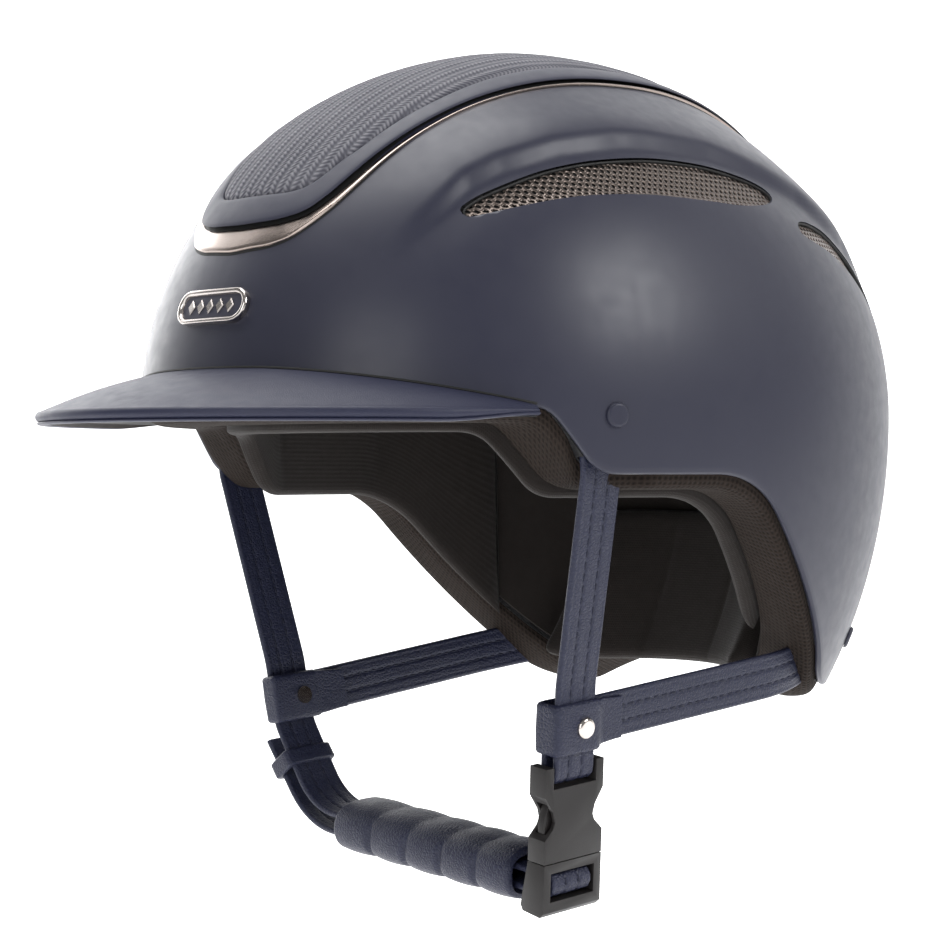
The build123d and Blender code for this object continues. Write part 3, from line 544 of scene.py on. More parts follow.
FINISHES = (
    Finish("shell_satin", (0.018, 0.019, 0.034), (0.024, 0.025, 0.042), 0.44, Grain.PAINT, 2600, 0.012,
           coat=0.12, coat_roughness=0.26),
    Finish("liner_foam", (0.006, 0.006, 0.007), (0.018, 0.018, 0.019), 0.75, Grain.BEADS, 300, 0.25),
    Finish("edge_mesh", (0.006, 0.0045, 0.004), (0.024, 0.018, 0.015), 0.88, Grain.MESH, 520, 0.35, specular=0.1),
    Finish("pad_fabric", (0.009, 0.007, 0.006), (0.022, 0.017, 0.015), 0.92, Grain.JERSEY, 1100, 0.12, sheen=0.06),
    Finish("peak_leather", (0.014, 0.016, 0.036), (0.022, 0.024, 0.050), 0.50, Grain.LEATHER, 1500, 0.030),
    Finish("peak_board", (0.02, 0.02, 0.02), (0.05, 0.05, 0.05), 0.7, Grain.MOULDED, 900, 0.05),
    Finish("strap_leather", (0.008, 0.010, 0.026), (0.024, 0.027, 0.055), 0.44, Grain.LEATHER, 800, 0.16, edge_lightening=0.25),
    Finish("strap_thread", (0.003, 0.004, 0.012), (0.012, 0.014, 0.034), 0.6, Grain.THREAD, 2200, 0.05),
    Finish("frame_plastic", (0.026, 0.027, 0.044), (0.032, 0.033, 0.052), 0.50, Grain.MOULDED, 2400, 0.012),
    Finish("knit_fabric", (0.020, 0.021, 0.036), (0.160, 0.158, 0.180), 0.80, Grain.KNIT, 164, 0.45, sheen=0.12),
    Finish("bronze_trim", (0.30, 0.25, 0.225), (0.38, 0.32, 0.29), 0.24, Grain.BRUSHED, 1800, 0.006, metallic=1.0),
    Finish("grille_metal", (0.11, 0.09, 0.08), (0.17, 0.14, 0.125), 0.34, Grain.BRUSHED, 1500, 0.01, metallic=1.0),
    # Dark finish for the sheets, beads and cords laid in slots, gaps and creases: painted shade.
    Finish("intake_dark", (0.006, 0.006, 0.006), (0.012, 0.012, 0.012), 0.6, Grain.MOULDED, 1500, 0.01),
    Finish("badge_metal", (0.50, 0.46, 0.44), (0.58, 0.54, 0.51), 0.20, Grain.POLISHED, 900, 0.003, metallic=1.0),
    Finish("badge_inlay", (0.030, 0.030, 0.046), (0.040, 0.040, 0.058), 0.45, Grain.MOULDED, 2200, 0.01),
    Finish("rivet_painted", (0.018, 0.019, 0.034), (0.024, 0.025, 0.042), 0.45, Grain.PAINT, 2600, 0.012),
    Finish("rivet_metal", (0.55, 0.50, 0.47), (0.65, 0.61, 0.58), 0.14, Grain.POLISHED, 900, 0.002, metallic=1.0),
    Finish("buckle_plastic", (0.009, 0.008, 0.008), (0.018, 0.016, 0.016), 0.40, Grain.MOULDED, 2000, 0.02, edge_lightening=0.3),
    Finish("hook_loop", (0.006, 0.006, 0.006), (0.02, 0.02, 0.02), 0.95, Grain.JERSEY, 1400, 0.3),
)
STYLE = Finishes()


# ---------------------------------------------------------------- the egg that everything follows
WIDEST_Y = 21.0
WIDEST_Z = 20.0
PLAN_POWER = 2.25
EDGE_CORNERS = [(-175, 21), (-52, 21), (-36, 1), (27.5, 1), (92, -71), (175, -71)]
EDGE_RADII = [10, 12, 40, 25]
NAPE_ARCH = (56.0, 30.0, -85.0)


@dataclass
class Egg:
    """Half sizes of the egg about its widest point. Each may be an array, one value a point."""

    half_width: float
    front: float
    rear: float
    rise: float
    drop: float

    def inset(self, depth) -> "Egg":
        """The egg made smaller by a depth all round."""
        sizes = (self.half_width, self.front, self.rear, self.rise, self.drop)
        return Egg(*(size - depth for size in sizes))

    def toward(self, other: "Egg", share) -> "Egg":
        """The egg a share of the way to another one."""
        pairs = zip(self.sizes(), other.sizes())
        return Egg(*(a + (b - a) * share for a, b in pairs))

    def sizes(self) -> tuple:
        """The five half sizes in order."""
        return self.half_width, self.front, self.rear, self.rise, self.drop

    def point(self, turn: Array, level: Array) -> Array:
        """Point on the egg at a turn about Z and a height.

        The section at a height is a superellipse, scaled by the root of 1 less the square of the
        height's share of the rise or the drop.
        """
        tall = np.where(level > WIDEST_Z, self.rise, self.drop)
        share = np.sqrt(np.clip(1 - ((level - WIDEST_Z) / tall) ** 2, 0, 1))
        across, along = np.cos(turn), np.sin(turn)
        radius = (np.abs(across) ** PLAN_POWER + np.abs(along) ** PLAN_POWER) ** (-1 / PLAN_POWER)
        length = np.where(along < 0, self.front, self.rear)
        x = self.half_width * share * radius * across
        y = WIDEST_Y + length * share * radius * along
        return np.stack(np.broadcast_arrays(x, y, level), -1)

    def crown(self, x: Array, y: Array) -> Array:
        """Point on the upper half above a plan position, by the same formula solved for height."""
        length = np.where(y < WIDEST_Y, self.front, self.rear)
        plan = (np.abs(x) / self.half_width) ** PLAN_POWER + (np.abs(y - WIDEST_Y) / length) ** PLAN_POWER
        share = np.clip(plan, 0, 1) ** (1 / PLAN_POWER)
        z = WIDEST_Z + self.rise * np.sqrt(np.clip(1 - share**2, 0, 1))
        return np.stack([x, y, z], -1)

    def side(self, y: Array, z: Array) -> Array:
        """Point on the wearer's-left wall at a side-view position."""
        tall = np.where(z > WIDEST_Z, self.rise, self.drop)
        length = np.where(y < WIDEST_Y, self.front, self.rear)
        plan = np.clip(1 - ((z - WIDEST_Z) / tall) ** 2, 0, 1) ** (PLAN_POWER / 2)
        rest = np.clip(plan - (np.abs(y - WIDEST_Y) / length) ** PLAN_POWER, 0, 1)
        return np.stack([self.half_width * rest ** (1 / PLAN_POWER), y, z], -1)

    def normal(self, points: Array) -> Array:
        """Outward unit normal at points on the egg: the gradient of its implicit formula."""
        x, y, z = np.moveaxis(points, -1, 0)
        length = np.where(y < WIDEST_Y, self.front, self.rear)
        tall = np.where(z > WIDEST_Z, self.rise, self.drop)
        up = (z - WIDEST_Z) / tall
        scale = np.clip(1 - up**2, 1e-6, 1) ** (1 - PLAN_POWER / 2)
        across = np.abs(x / self.half_width) ** (PLAN_POWER - 1) * np.sign(x) / self.half_width
        along = np.abs((y - WIDEST_Y) / length) ** (PLAN_POWER - 1) * np.sign(y - WIDEST_Y) / length
        return unit(np.stack([scale * across, scale * along, up / tall], -1))


SHELL = Egg(103.0, 133.0, 139.0, 119.0, 162.0)
SHELL_WALL = 2.5
LINER_WALLS = (18.5, 27.0, 29.0, 22.5, 18.5)
CAVITY = Egg(*(size - SHELL_WALL - wall for size, wall in zip(SHELL.sizes(), LINER_WALLS)))
EDGE_LINE = filleted(EDGE_CORNERS, EDGE_RADII)


def edge_height(x: Array, y: Array) -> Array:
    """Height of the helmet's lower edge at a plan position: the side outline, or the arch over the
    nape where that is higher.
    """
    outline = np.interp(y, EDGE_LINE[:, 0], EDGE_LINE[:, 1])
    half, rise, level = NAPE_ARCH
    arch = level + rise * np.sqrt(np.clip(1 - (x / half) ** 2, 0, 1))
    return np.where(y > WIDEST_Y, np.maximum(outline, arch), outline)


def edge_level(egg: Egg, turn: Array, drop: Array) -> Array:
    """Height at which an egg crosses the lower edge moved down by drop, found by halving."""
    low = np.full(np.broadcast(turn, drop).shape, -125.0)
    high = np.full_like(low, 60.0)
    for _ in range(36):
        middle = (low + high) / 2
        point = egg.point(turn, middle)
        above = middle > edge_height(point[..., 0], point[..., 1]) - drop
        high = np.where(above, middle, high)
        low = np.where(above, low, middle)
    return (low + high) / 2


# ---------------------------------------------------------------- shell
@dataclass
class Shell:
    """Outer shell: a smooth egg with a soft ridge above each grille and a rounded lower lip."""

    columns: int = 400
    outer_rows: int = 150
    lip: float = 2.3
    wall: float = 1.3
    ridge_high: float = 1.9
    ridge_low: float = 1.0
    ridge: tuple = ((-92, 60), (-82, 69), (-75, 76), (-59, 89.5), (-48, 95), (-28, 101.5), (-5, 105.5),
                    (7, 106), (33, 105), (46, 102.5), (60, 99), (77, 94), (107, 80), (130, 60))

    def relief(self, points: Array) -> Array:
        """How far the surface stands off the egg: a shoulder just above the ridge line, a hollow
        just below it, and a slow return to nothing on both sides.
        """
        y, z = points[..., 1], points[..., 2]
        line = np.array(self.ridge, float)
        height = z - np.interp(y, line[:, 0], line[:, 1])
        above = self.ridge_high * np.exp(-((np.maximum(height - 1.5, 0) / 10) ** 2))
        below = self.ridge_low * np.exp(-((np.maximum(-4.5 - height, 0) / 9) ** 2))
        shoulder = smooth(-4.5, 1.5, height)
        fade = smooth(-92, -62, y) * (1 - smooth(96, 128, y))
        return (above * shoulder - below * (1 - shoulder)) * fade

    def surface(self, points: Array, depth: float = 0.0) -> Array:
        """Points of the egg moved out by the relief and in by a depth, along the normal."""
        return points + SHELL.normal(points) * (self.relief(points) - depth)[..., None]

    def build(self) -> bpy.types.Object:
        """Rows run from the inner crown down the inside, round the lip and up the outside."""
        turn = np.linspace(0, math.tau, self.columns, endpoint=False)
        edge = edge_level(SHELL, turn, np.zeros_like(turn))
        tall = np.where(edge > WIDEST_Z, SHELL.rise, SHELL.drop)
        start = np.arcsin((edge - WIDEST_Z) / tall)
        rise = np.linspace(0, 1, self.outer_rows)[:, None]
        angle = start + (math.radians(89.3) - start) * rise
        level = WIDEST_Z + np.where(angle > 0, SHELL.rise, SHELL.drop) * np.sin(angle)
        egg_points = SHELL.point(turn[None], level)
        normals = SHELL.normal(egg_points)
        outer = self.surface(egg_points)
        inner_share = np.linspace(0, 1, 26)
        pick = np.round(inner_share**0.8 * (self.outer_rows - 1)).astype(int)
        depth = self.wall + (self.lip - self.wall) * (1 - smooth(50, 72, egg_points[pick, :, 2]))
        inner = egg_points[pick] - normals[pick] * depth[..., None]
        bend = np.linspace(0, math.pi, 9)[1:-1, None, None]
        half = self.lip / 2
        down = unit(egg_points[0] - egg_points[2])
        lip = egg_points[0] - normals[0] * half * (1 + np.cos(bend)) + down * half * np.sin(bend) * 0.8
        skin = Skin().grid(np.concatenate([inner[::-1], lip, outer]), wrap=(False, True), caps=True)
        obj = skin.piece("shell_outer", [STYLE.get("shell_satin"), STYLE.get("intake_dark")], sharp=50)
        self.cut_vents(obj)
        return settle(obj, "helmet", "shell_satin", "outer_shell")

    def cut_vents(self, obj: bpy.types.Object) -> None:
        """Cuts the grille openings with prisms that run across the helmet."""
        skin = Skin()
        reach = np.array([30.0, 140.0])
        for vent in VENTS:
            for side in (1, -1):
                line = vent.outline()
                wall = np.stack([
                    np.column_stack([np.full(len(line), side * x), line]) for x in reach
                ])
                skin.grid(wall, wrap=(False, True), caps=True)
        cutter = skin.piece("vent_cutter", [])
        cut = obj.modifiers.new("Vents", "BOOLEAN")
        cut.operation = "DIFFERENCE"
        cut.solver = "EXACT"
        cut.object = cutter
        apply_modifiers(obj)
        bpy.data.objects.remove(cutter)
        obj.data.polygons.foreach_set("use_smooth", np.ones(len(obj.data.polygons), bool))
        obj.data.set_sharp_from_angle(angle=math.radians(50))


# ---------------------------------------------------------------- side grilles
@dataclass
class Vent:
    """One perforated grille, and the opening in the shell round it, seen from the side."""

    name: str
    node: str
    knots: tuple
    pitch: float = 2.3
    hole: float = 0.70
    sunk: float = 1.7
    curl: float = 1.2
    curl_width: float = 3.4
    sheet: float = 0.45

    def outline(self) -> Array:
        """Closed side-view outline, (y, z) rows."""
        return resample(closed_curve(list(self.knots)), 200, closed=True)

    def nearest(self, places: Array) -> tuple:
        """Nearest outline point, signed distance inside and how low that point lies, by place."""
        line = self.outline()
        gaps = places[:, None] - line[None]
        distance = np.linalg.norm(gaps, axis=-1)
        pick = distance.argmin(1)
        following = np.roll(line, -1, 0)
        crosses = (line[None, :, 1] > places[:, None, 1]) != (following[None, :, 1] > places[:, None, 1])
        slope = (following[:, 0] - line[:, 0]) / np.where(following[:, 1] == line[:, 1], 1e-9, following[:, 1] - line[:, 1])
        at = line[None, :, 0] + (places[:, None, 1] - line[None, :, 1]) * slope[None]
        inside = (crosses & (places[:, None, 0] < at)).sum(1) % 2 == 1
        tangent = unit(np.roll(line, -1, 0) - np.roll(line, 1, 0))
        outward = np.stack([tangent[:, 1], -tangent[:, 0]], 1)
        area = np.sum(line[:, 0] * following[:, 1] - following[:, 0] * line[:, 1])
        lowness = -(outward * np.sign(area))[pick, 1]
        near = distance[np.arange(len(places)), pick]
        return line[pick], np.where(inside, near, -near), lowness

    def build(self, shell: Shell) -> None:
        """Makes the plate on both sides.

        Honeycomb cells, each a twelve-sided ring round a hole, cover the outline. Points outside
        it are moved to its nearest point, which cuts the holes on the border.
        """
        line = self.outline()
        middle = line.mean(0)
        centred = line - middle
        _, _, axes = np.linalg.svd(centred, full_matrices=False)
        lean = np.abs(SHELL.normal(SHELL.side(middle[:1], middle[1:])[0])[0])
        stretch = np.array([1.0, max(float(lean), 0.55)])
        reach = np.ptp(centred, axis=0) / 2 / stretch + 2 * self.pitch
        columns = np.arange(-math.ceil(reach[0] / self.pitch), math.ceil(reach[0] / self.pitch) + 1)
        rows = np.arange(-math.ceil(reach[1] / self.pitch / 0.866), math.ceil(reach[1] / self.pitch / 0.866) + 1)
        column, row = np.meshgrid(columns, rows)
        centres = np.stack([(column + 0.5 * (row % 2)) * self.pitch, row * self.pitch * 0.866], -1).reshape(-1, 2)
        turn = np.radians(np.arange(12) * 30)
        far = np.where(np.arange(12) % 2 == 1, self.pitch / math.sqrt(3), self.pitch / 2)
        ring = np.stack([np.cos(turn), np.sin(turn)], 1)
        cell = np.vstack([ring * far[:, None], ring * self.hole])
        places = (centres[:, None] + cell[None]) * stretch + middle
        _, centre_inside, _ = self.nearest(centres * stretch + middle)
        keep = centre_inside > -0.9 * self.pitch
        places = places[keep].reshape(-1, 2)
        near, inside, lowness = self.nearest(places)
        places = np.where(inside[:, None] < 0, near, places)
        depth = self.sunk - self.curl * (1 - smooth(0, self.curl_width, np.maximum(inside, 0))) * np.clip(lowness, 0, 1)
        base = SHELL.side(places[:, 0], places[:, 1])
        lift = np.maximum(shell.relief(base) - depth, -2.0)
        points = base + SHELL.normal(base) * lift[:, None]
        index = np.arange(12)
        quads = np.stack([index, (index + 1) % 12, (index + 1) % 12 + 12, index + 12], 1)
        shift = np.arange(keep.sum())[:, None, None] * 24
        faces = (quads[None] + shift).reshape(-1, 4)
        corner_inside = inside[faces] > 0.0
        faces = faces[corner_inside.any(1)]
        for side, mirror in (("left", 1), ("right", -1)):
            skin = Skin(points=[points * np.array([mirror, 1, 1])], total=len(points))
            skin.faces = faces.tolist() if mirror == 1 else faces[:, ::-1].tolist()
            skin.corners = [np.zeros((len(faces) * 4, 2))]
            skin.finishes = [np.zeros(len(faces))]
            name = f"{self.name}_{side}"
            obj = skin.piece(name, [STYLE.get("grille_metal")], sharp=60, recalc=False)
            thick = obj.modifiers.new("Sheet", "SOLIDIFY")
            thick.thickness = self.sheet * MM
            thick.offset = 1.0 if self.faces_in(obj) else -1.0
            apply_modifiers(obj)
            settle(obj, "helmet", "grille_metal", f"{self.node}_{side}")
        self.gap_shade(shell)

    @staticmethod
    def faces_in(obj: bpy.types.Object) -> bool:
        """Whether the sheet's faces point towards the helmet's middle."""
        face = obj.data.polygons[len(obj.data.polygons) // 2]
        return face.normal.dot(face.center) < 0

    def gap_shade(self, shell: Shell) -> None:
        """Thin dark bead just inside the opening's edge, along the outline: painted shade on the cut rim of the
        opening.
        """
        line = self.outline()
        inward = unit(line.mean(0) - line)
        bend = np.linspace(0, math.tau, 8, endpoint=False)
        base = SHELL.side(line[:, 0] + inward[:, 0] * 0.15, line[:, 1] + inward[:, 1] * 0.15)
        normal = SHELL.normal(base)
        along = unit(np.roll(base, -1, 0) - np.roll(base, 1, 0))
        across = np.cross(normal, along)
        centre = base + normal * (shell.relief(base) - 0.75)[:, None]
        tube = centre[:, None] + 0.42 * (
            across[:, None] * np.cos(bend)[None, :, None] + normal[:, None] * np.sin(bend)[None, :, None] * 1.3
        )
        skin = Skin().grid(tube, wrap=(True, True))
        for side, made in (("left", skin), ("right", skin.mirrored())):
            obj = made.piece(f"{self.name}_seal_{side}", [STYLE.get("intake_dark")])
            settle(obj, "helmet", "intake_dark")


VENTS = (
    Vent("grille_front_plate", "grille_front",
         ((-63.9, 79.0), (-62.0, 80.9), (-55.6, 84.6), (-42.3, 90.2), (-30.9, 93.8), (-15.9, 96.9), (5.0, 99.1),
          (27.3, 98.9), (45.4, 96.6), (56.0, 94.0), (59.6, 91.2), (56.8, 88.5), (48.5, 86.8), (36.1, 85.8),
          (17.9, 86.2), (-3.2, 86.3), (-22.0, 85.2), (-36.1, 83.2), (-50.4, 79.9), (-61.5, 77.0), (-63.6, 77.3))),
    Vent("grille_rear_plate", "grille_rear",
         ((67.0, 80.0), (69.2, 82.8), (78.0, 83.2), (92.0, 80.6), (108, 72.4), (119, 61.4), (124.4, 53.0),
          (121, 53.4), (108, 61.8), (97.0, 68.6), (84.6, 73.6), (70.0, 77.6)), curl=0.6),
)


# ---------------------------------------------------------------- crown panel
@dataclass
class CrownPanel:
    """Fabric insert, smooth frame, a dark sheet in the slot as painted shade, and a metallic surround edged by a thin
    dark ring of painted shade, on the crown.

    The three outlines hold the same number of knots on the wearer's left, from the front centre to
    the rear centre, so a knot of one ring faces the same knot of the next.
    """

    insert: tuple = ((0, -90.2), (11.5, -89.7), (18.5, -88.2), (22.9, -85.6), (25.5, -82.0), (27.6, -78.0),
                     (30.5, -71.9), (33.8, -58.2), (36.3, -44.0), (37.6, -22.8), (37.6, 0.0), (36.4, 22.0),
                     (33.5, 55.0), (29.6, 84.0), (26.4, 100.0), (22.5, 108.5), (14.0, 112.3), (0, 113.0))
    frame: tuple = ((0, -96.4), (12.3, -95.6), (20.6, -93.7), (26.4, -91.0), (30.2, -87.2), (32.8, -82.8),
                    (35.9, -74.8), (39.7, -61.0), (42.6, -46.0), (45.3, -24.5), (46.2, -1.0), (45.2, 22.0),
                    (42.0, 56.0), (37.6, 86.0), (34.2, 103.0), (29.0, 115.0), (16.5, 120.3), (0, 121.2))
    surround: tuple = ((0, -100.6), (12.0, -99.7), (19.4, -98.2), (25.4, -95.6), (30.9, -91.0), (34.9, -85.6),
                       (38.3, -77.2), (41.6, -63.0), (44.3, -47.0), (46.9, -25.0), (47.8, -1.0), (46.9, 22.0),
                       (43.6, 56.5), (39.1, 86.5), (35.7, 103.7), (30.4, 116.4), (17.3, 121.9), (0, 122.8))
    fabric_rise: float = 1.9
    border: float = 2.4
    rib_pitch: float = 6.1
    rib_depth: float = 0.30

    @staticmethod
    def outline(knots: tuple, spans: int = 20) -> Array:
        """Closed plan outline through knots on the left and their mirror image."""
        left = [(-x, y) for x, y in knots[-2:0:-1]]
        return closed_curve(list(knots) + left, spans)

    @staticmethod
    def ring(inner: Array, outer: Array, profile: list) -> Array:
        """Ring surface between two outlines.

        Args:
            inner: Inner plan outline.
            outer: Outer plan outline.
            profile: (share across, height above the shell) points of the cross-section.

        Returns:
            Grid of points, one row for each profile point.
        """
        rows = []
        for share, height in profile:
            plan = inner + (outer - inner) * share
            base = SHELL.crown(plan[:, 0], plan[:, 1])
            rows.append(base + SHELL.normal(base) * height)
        return np.stack(rows)

    def build(self) -> None:
        """Makes the four pieces, from the insert outwards.

        The frame's lip stands clear of the shell, and the surround starts under it, a share of
        the way out that is larger along the sides than at the brow.
        """
        insert, lip, outer = (self.outline(knots) for knots in (self.insert, self.frame, self.surround))
        brow = 1 - smooth(-95, -78, lip[:, 1])[:, None]
        inner = lip + (outer - lip) * (0.30 - 0.22 * brow)
        self.build_fabric(insert)
        plate = [(0.0, 0.05), (-0.015, 1.1), (0.0, 1.6), (0.05, 1.85), (0.16, 2.0), (0.40, 2.15), (0.70, 2.2),
                 (0.88, 2.15), (0.95, 2.0), (0.99, 1.75), (0.985, 1.5), (0.93, 1.4), (0.45, 1.3), (0.42, 0.05)]
        obj = Skin().grid(self.ring(insert, lip, plate), wrap=(True, True)).piece(
            "crown_frame", [STYLE.get("frame_plastic")], sharp=50)
        settle(obj, "helmet", "frame_plastic", "top_panel_frame")
        # Dark sheet across the slot between frame and surround: painted shade standing in for the slot's depth.
        channel = [(0.40, 0.05), (0.40, 1.28), (0.60, 0.5), (1.0, 0.10), (1.12, 0.06), (1.12, -0.2), (0.40, -0.2)]
        obj = Skin().grid(self.ring(insert, lip, channel), wrap=(True, True)).piece(
            "slot_shade_sheet", [STYLE.get("intake_dark")])
        settle(obj, "helmet", "intake_dark", "intake_insert")
        bar = [(0.0, 0.02), (0.0, 0.24), (0.04, 0.34), (0.15, 0.42), (0.45, 0.66), (0.80, 0.98), (0.92, 0.95),
               (0.98, 0.66), (1.0, 0.02)]
        skin = Skin().grid(self.ring(inner, outer, bar), wrap=(True, True))
        # Thin dark ring just outside the surround: painted shade of the gap between the trim and the shell.
        away = unit(outer - lip)
        gap_shade = [(-0.5, 0.03), (0.0, 0.20), (0.6, 0.18), (1.0, 0.02)]
        skin.grid(self.ring(outer, outer + away * 0.45, gap_shade), wrap=(True, True), finish=1)
        obj = skin.piece("crown_surround", [STYLE.get("bronze_trim"), STYLE.get("intake_dark")], sharp=50)
        settle(obj, "helmet", "bronze_trim", "trim_surround")

    @staticmethod
    def reach(line: Array, ahead: bool) -> tuple:
        """Left half of an outline's front or rear part as x and y in rising x."""
        widest = line[:, 0].argmax()
        half = line[: widest + 1] if ahead else line[widest : len(line) // 2 + 1][::-1]
        return half[:, 0], half[:, 1]

    def build_fabric(self, line: Array) -> None:
        """Ribbed insert: a pillow whose height rises from its border as a quarter ellipse.

        The border distance of a point is (a^-2 + b^-2)^-1/2, with a to the side and b to the
        front or the rear. Ribs are the root of a cosine of the distance across.
        """
        rows, columns = 300, 220
        low, high = line[:, 1].min(), line[:, 1].max()
        rise = 0.5 - 0.5 * np.cos(np.linspace(0.02, math.pi - 0.02, rows))[:, None]
        y = low + (high - low) * (0.35 * np.linspace(0.0004, 0.9996, rows)[:, None] + 0.65 * rise)
        half_line = line[: len(line) // 2 + 1]
        half = np.interp(y, half_line[:, 1], half_line[:, 0])
        x = np.linspace(-1, 1, columns)[None] * half
        front = np.interp(np.abs(x), *self.reach(line, True))
        rear = np.interp(np.abs(x), *self.reach(line, False))
        side = np.maximum(half - np.abs(x), 1e-3)
        end = np.maximum(np.minimum(y - front, rear - y), 1e-3)
        border = (side**-2 + end**-2) ** -0.5
        pillow = np.sqrt(np.clip(1 - (1 - np.clip(border / self.border, 0, 1)) ** 2, 0, 1))
        rib = np.abs(np.cos(math.pi * x / self.rib_pitch)) ** 0.35 * self.rib_depth
        height = 0.10 + self.fabric_rise * pillow + rib * smooth(1.5, 4.0, border)
        base = SHELL.crown(x, np.broadcast_to(y, x.shape))
        top = base + SHELL.normal(base) * height[..., None]
        across = np.linspace(1, -1, 14)[None, 1:-1] * half
        floor = SHELL.crown(across, np.broadcast_to(y, across.shape))
        loop = np.concatenate([top, floor + SHELL.normal(floor) * 0.04], 1)
        step = np.linalg.norm(np.diff(top[:, columns // 2], axis=0), axis=1)
        uv = np.zeros((rows, loop.shape[1] + 1, 2))
        uv[..., 0] = np.concatenate([x, across, x[:, :1]], 1)
        uv[..., 1] = np.concatenate([[0], np.cumsum(step)])[:, None]
        skin = Skin().grid(loop, wrap=(False, True), caps=True, uv=uv)
        obj = skin.piece("crown_fabric", [STYLE.get("knit_fabric")], sharp=60)
        settle(obj, "helmet", "knit_fabric", "top_panel_fabric")


# ---------------------------------------------------------------- badge
@dataclass
class Badge:
    """Pill-shaped brow badge: a half-round metal rim, a dark plate and a plain row of lozenges."""

    level: float = 51.0
    length: float = 34.0
    height: float = 11.0
    rim: float = 2.0
    proud: float = 2.3
    lozenges: int = 5

    def place(self, flat: Array, lift: Array) -> Array:
        """Points of the badge: along X and up the brow's slope, lifted off the shell."""
        share = math.sqrt(1 - ((self.level - WIDEST_Z) / SHELL.rise) ** 2)
        centre = np.array([0.0, WIDEST_Y - SHELL.front * share, self.level])
        normal = SHELL.normal(centre[None])[0]
        right = np.array([1.0, 0.0, 0.0])
        up = np.cross(normal, right)
        return self.wrap(centre, normal, right, up, flat, lift)

    def wrap(self, centre, normal, right, up, flat: Array, lift: Array) -> Array:
        """Bends the flat badge round the brow: each point's base lies on the shell in front view."""
        spot = centre + flat[..., :1] * right - flat[..., 1:] * up * np.sign(up[2]) * -1
        x, z = spot[..., 0], spot[..., 2]
        share = np.sqrt(1 - ((z - WIDEST_Z) / SHELL.rise) ** 2)
        rest = share**PLAN_POWER - np.abs(x / SHELL.half_width) ** PLAN_POWER
        y = WIDEST_Y - SHELL.front * rest ** (1 / PLAN_POWER)
        base = np.stack([x, y, z], -1)
        return base + SHELL.normal(base) * np.asarray(lift)[..., None]

    def pill(self, inset: float, count: int = 120) -> Array:
        """Outline of the pill, inset from its outside."""
        return resample(stadium(self.length - 2 * inset, self.height - 2 * inset), count, closed=True)

    def build(self) -> None:
        """Makes the rim, the plate and the lozenges."""
        profile = [(0.0, -0.2), (0.0, 1.3), (0.12, 1.9), (0.45, 2.25), (0.9, 2.3), (1.35, 2.2), (1.75, 1.8),
                   (2.0, 1.2), (2.0, -0.2)]
        rows = [self.place(self.pill(inset), np.full(120, lift)) for inset, lift in profile]
        obj = Skin().grid(np.stack(rows), wrap=(True, True)).piece("badge_frame", [STYLE.get("badge_metal")], sharp=70)
        settle(obj, "helmet", "badge_metal", "badge_rim")
        plate = [(1.9, -0.2), (1.9, 1.05), (2.4, 1.12), (3.2, 1.16), (4.2, 1.18)]
        rows = [self.place(self.pill(inset), np.full(120, lift)) for inset, lift in plate]
        skin = Skin().grid(np.stack(rows), wrap=(False, True), caps=True)
        obj = skin.piece("badge_face", [STYLE.get("badge_inlay")], sharp=60)
        settle(obj, "helmet", "badge_inlay", "badge_plate")
        skin = Skin()
        corner = np.radians(np.arange(4) * 90)
        for x in np.linspace(-9.6, 9.6, self.lozenges):
            rows = []
            for size, lift in ((1.0, 0.9), (1.0, 1.5), (0.75, 1.75)):
                flat = np.stack([x + 1.9 * size * np.cos(corner), 2.4 * size * np.sin(corner)], 1)
                rows.append(self.place(flat, np.full(4, lift)))
            skin.grid(np.stack(rows), wrap=(False, True), caps=True)
        obj = skin.piece("badge_lozenges", [STYLE.get("badge_metal")], sharp=20)
        settle(obj, "helmet", "badge_metal")


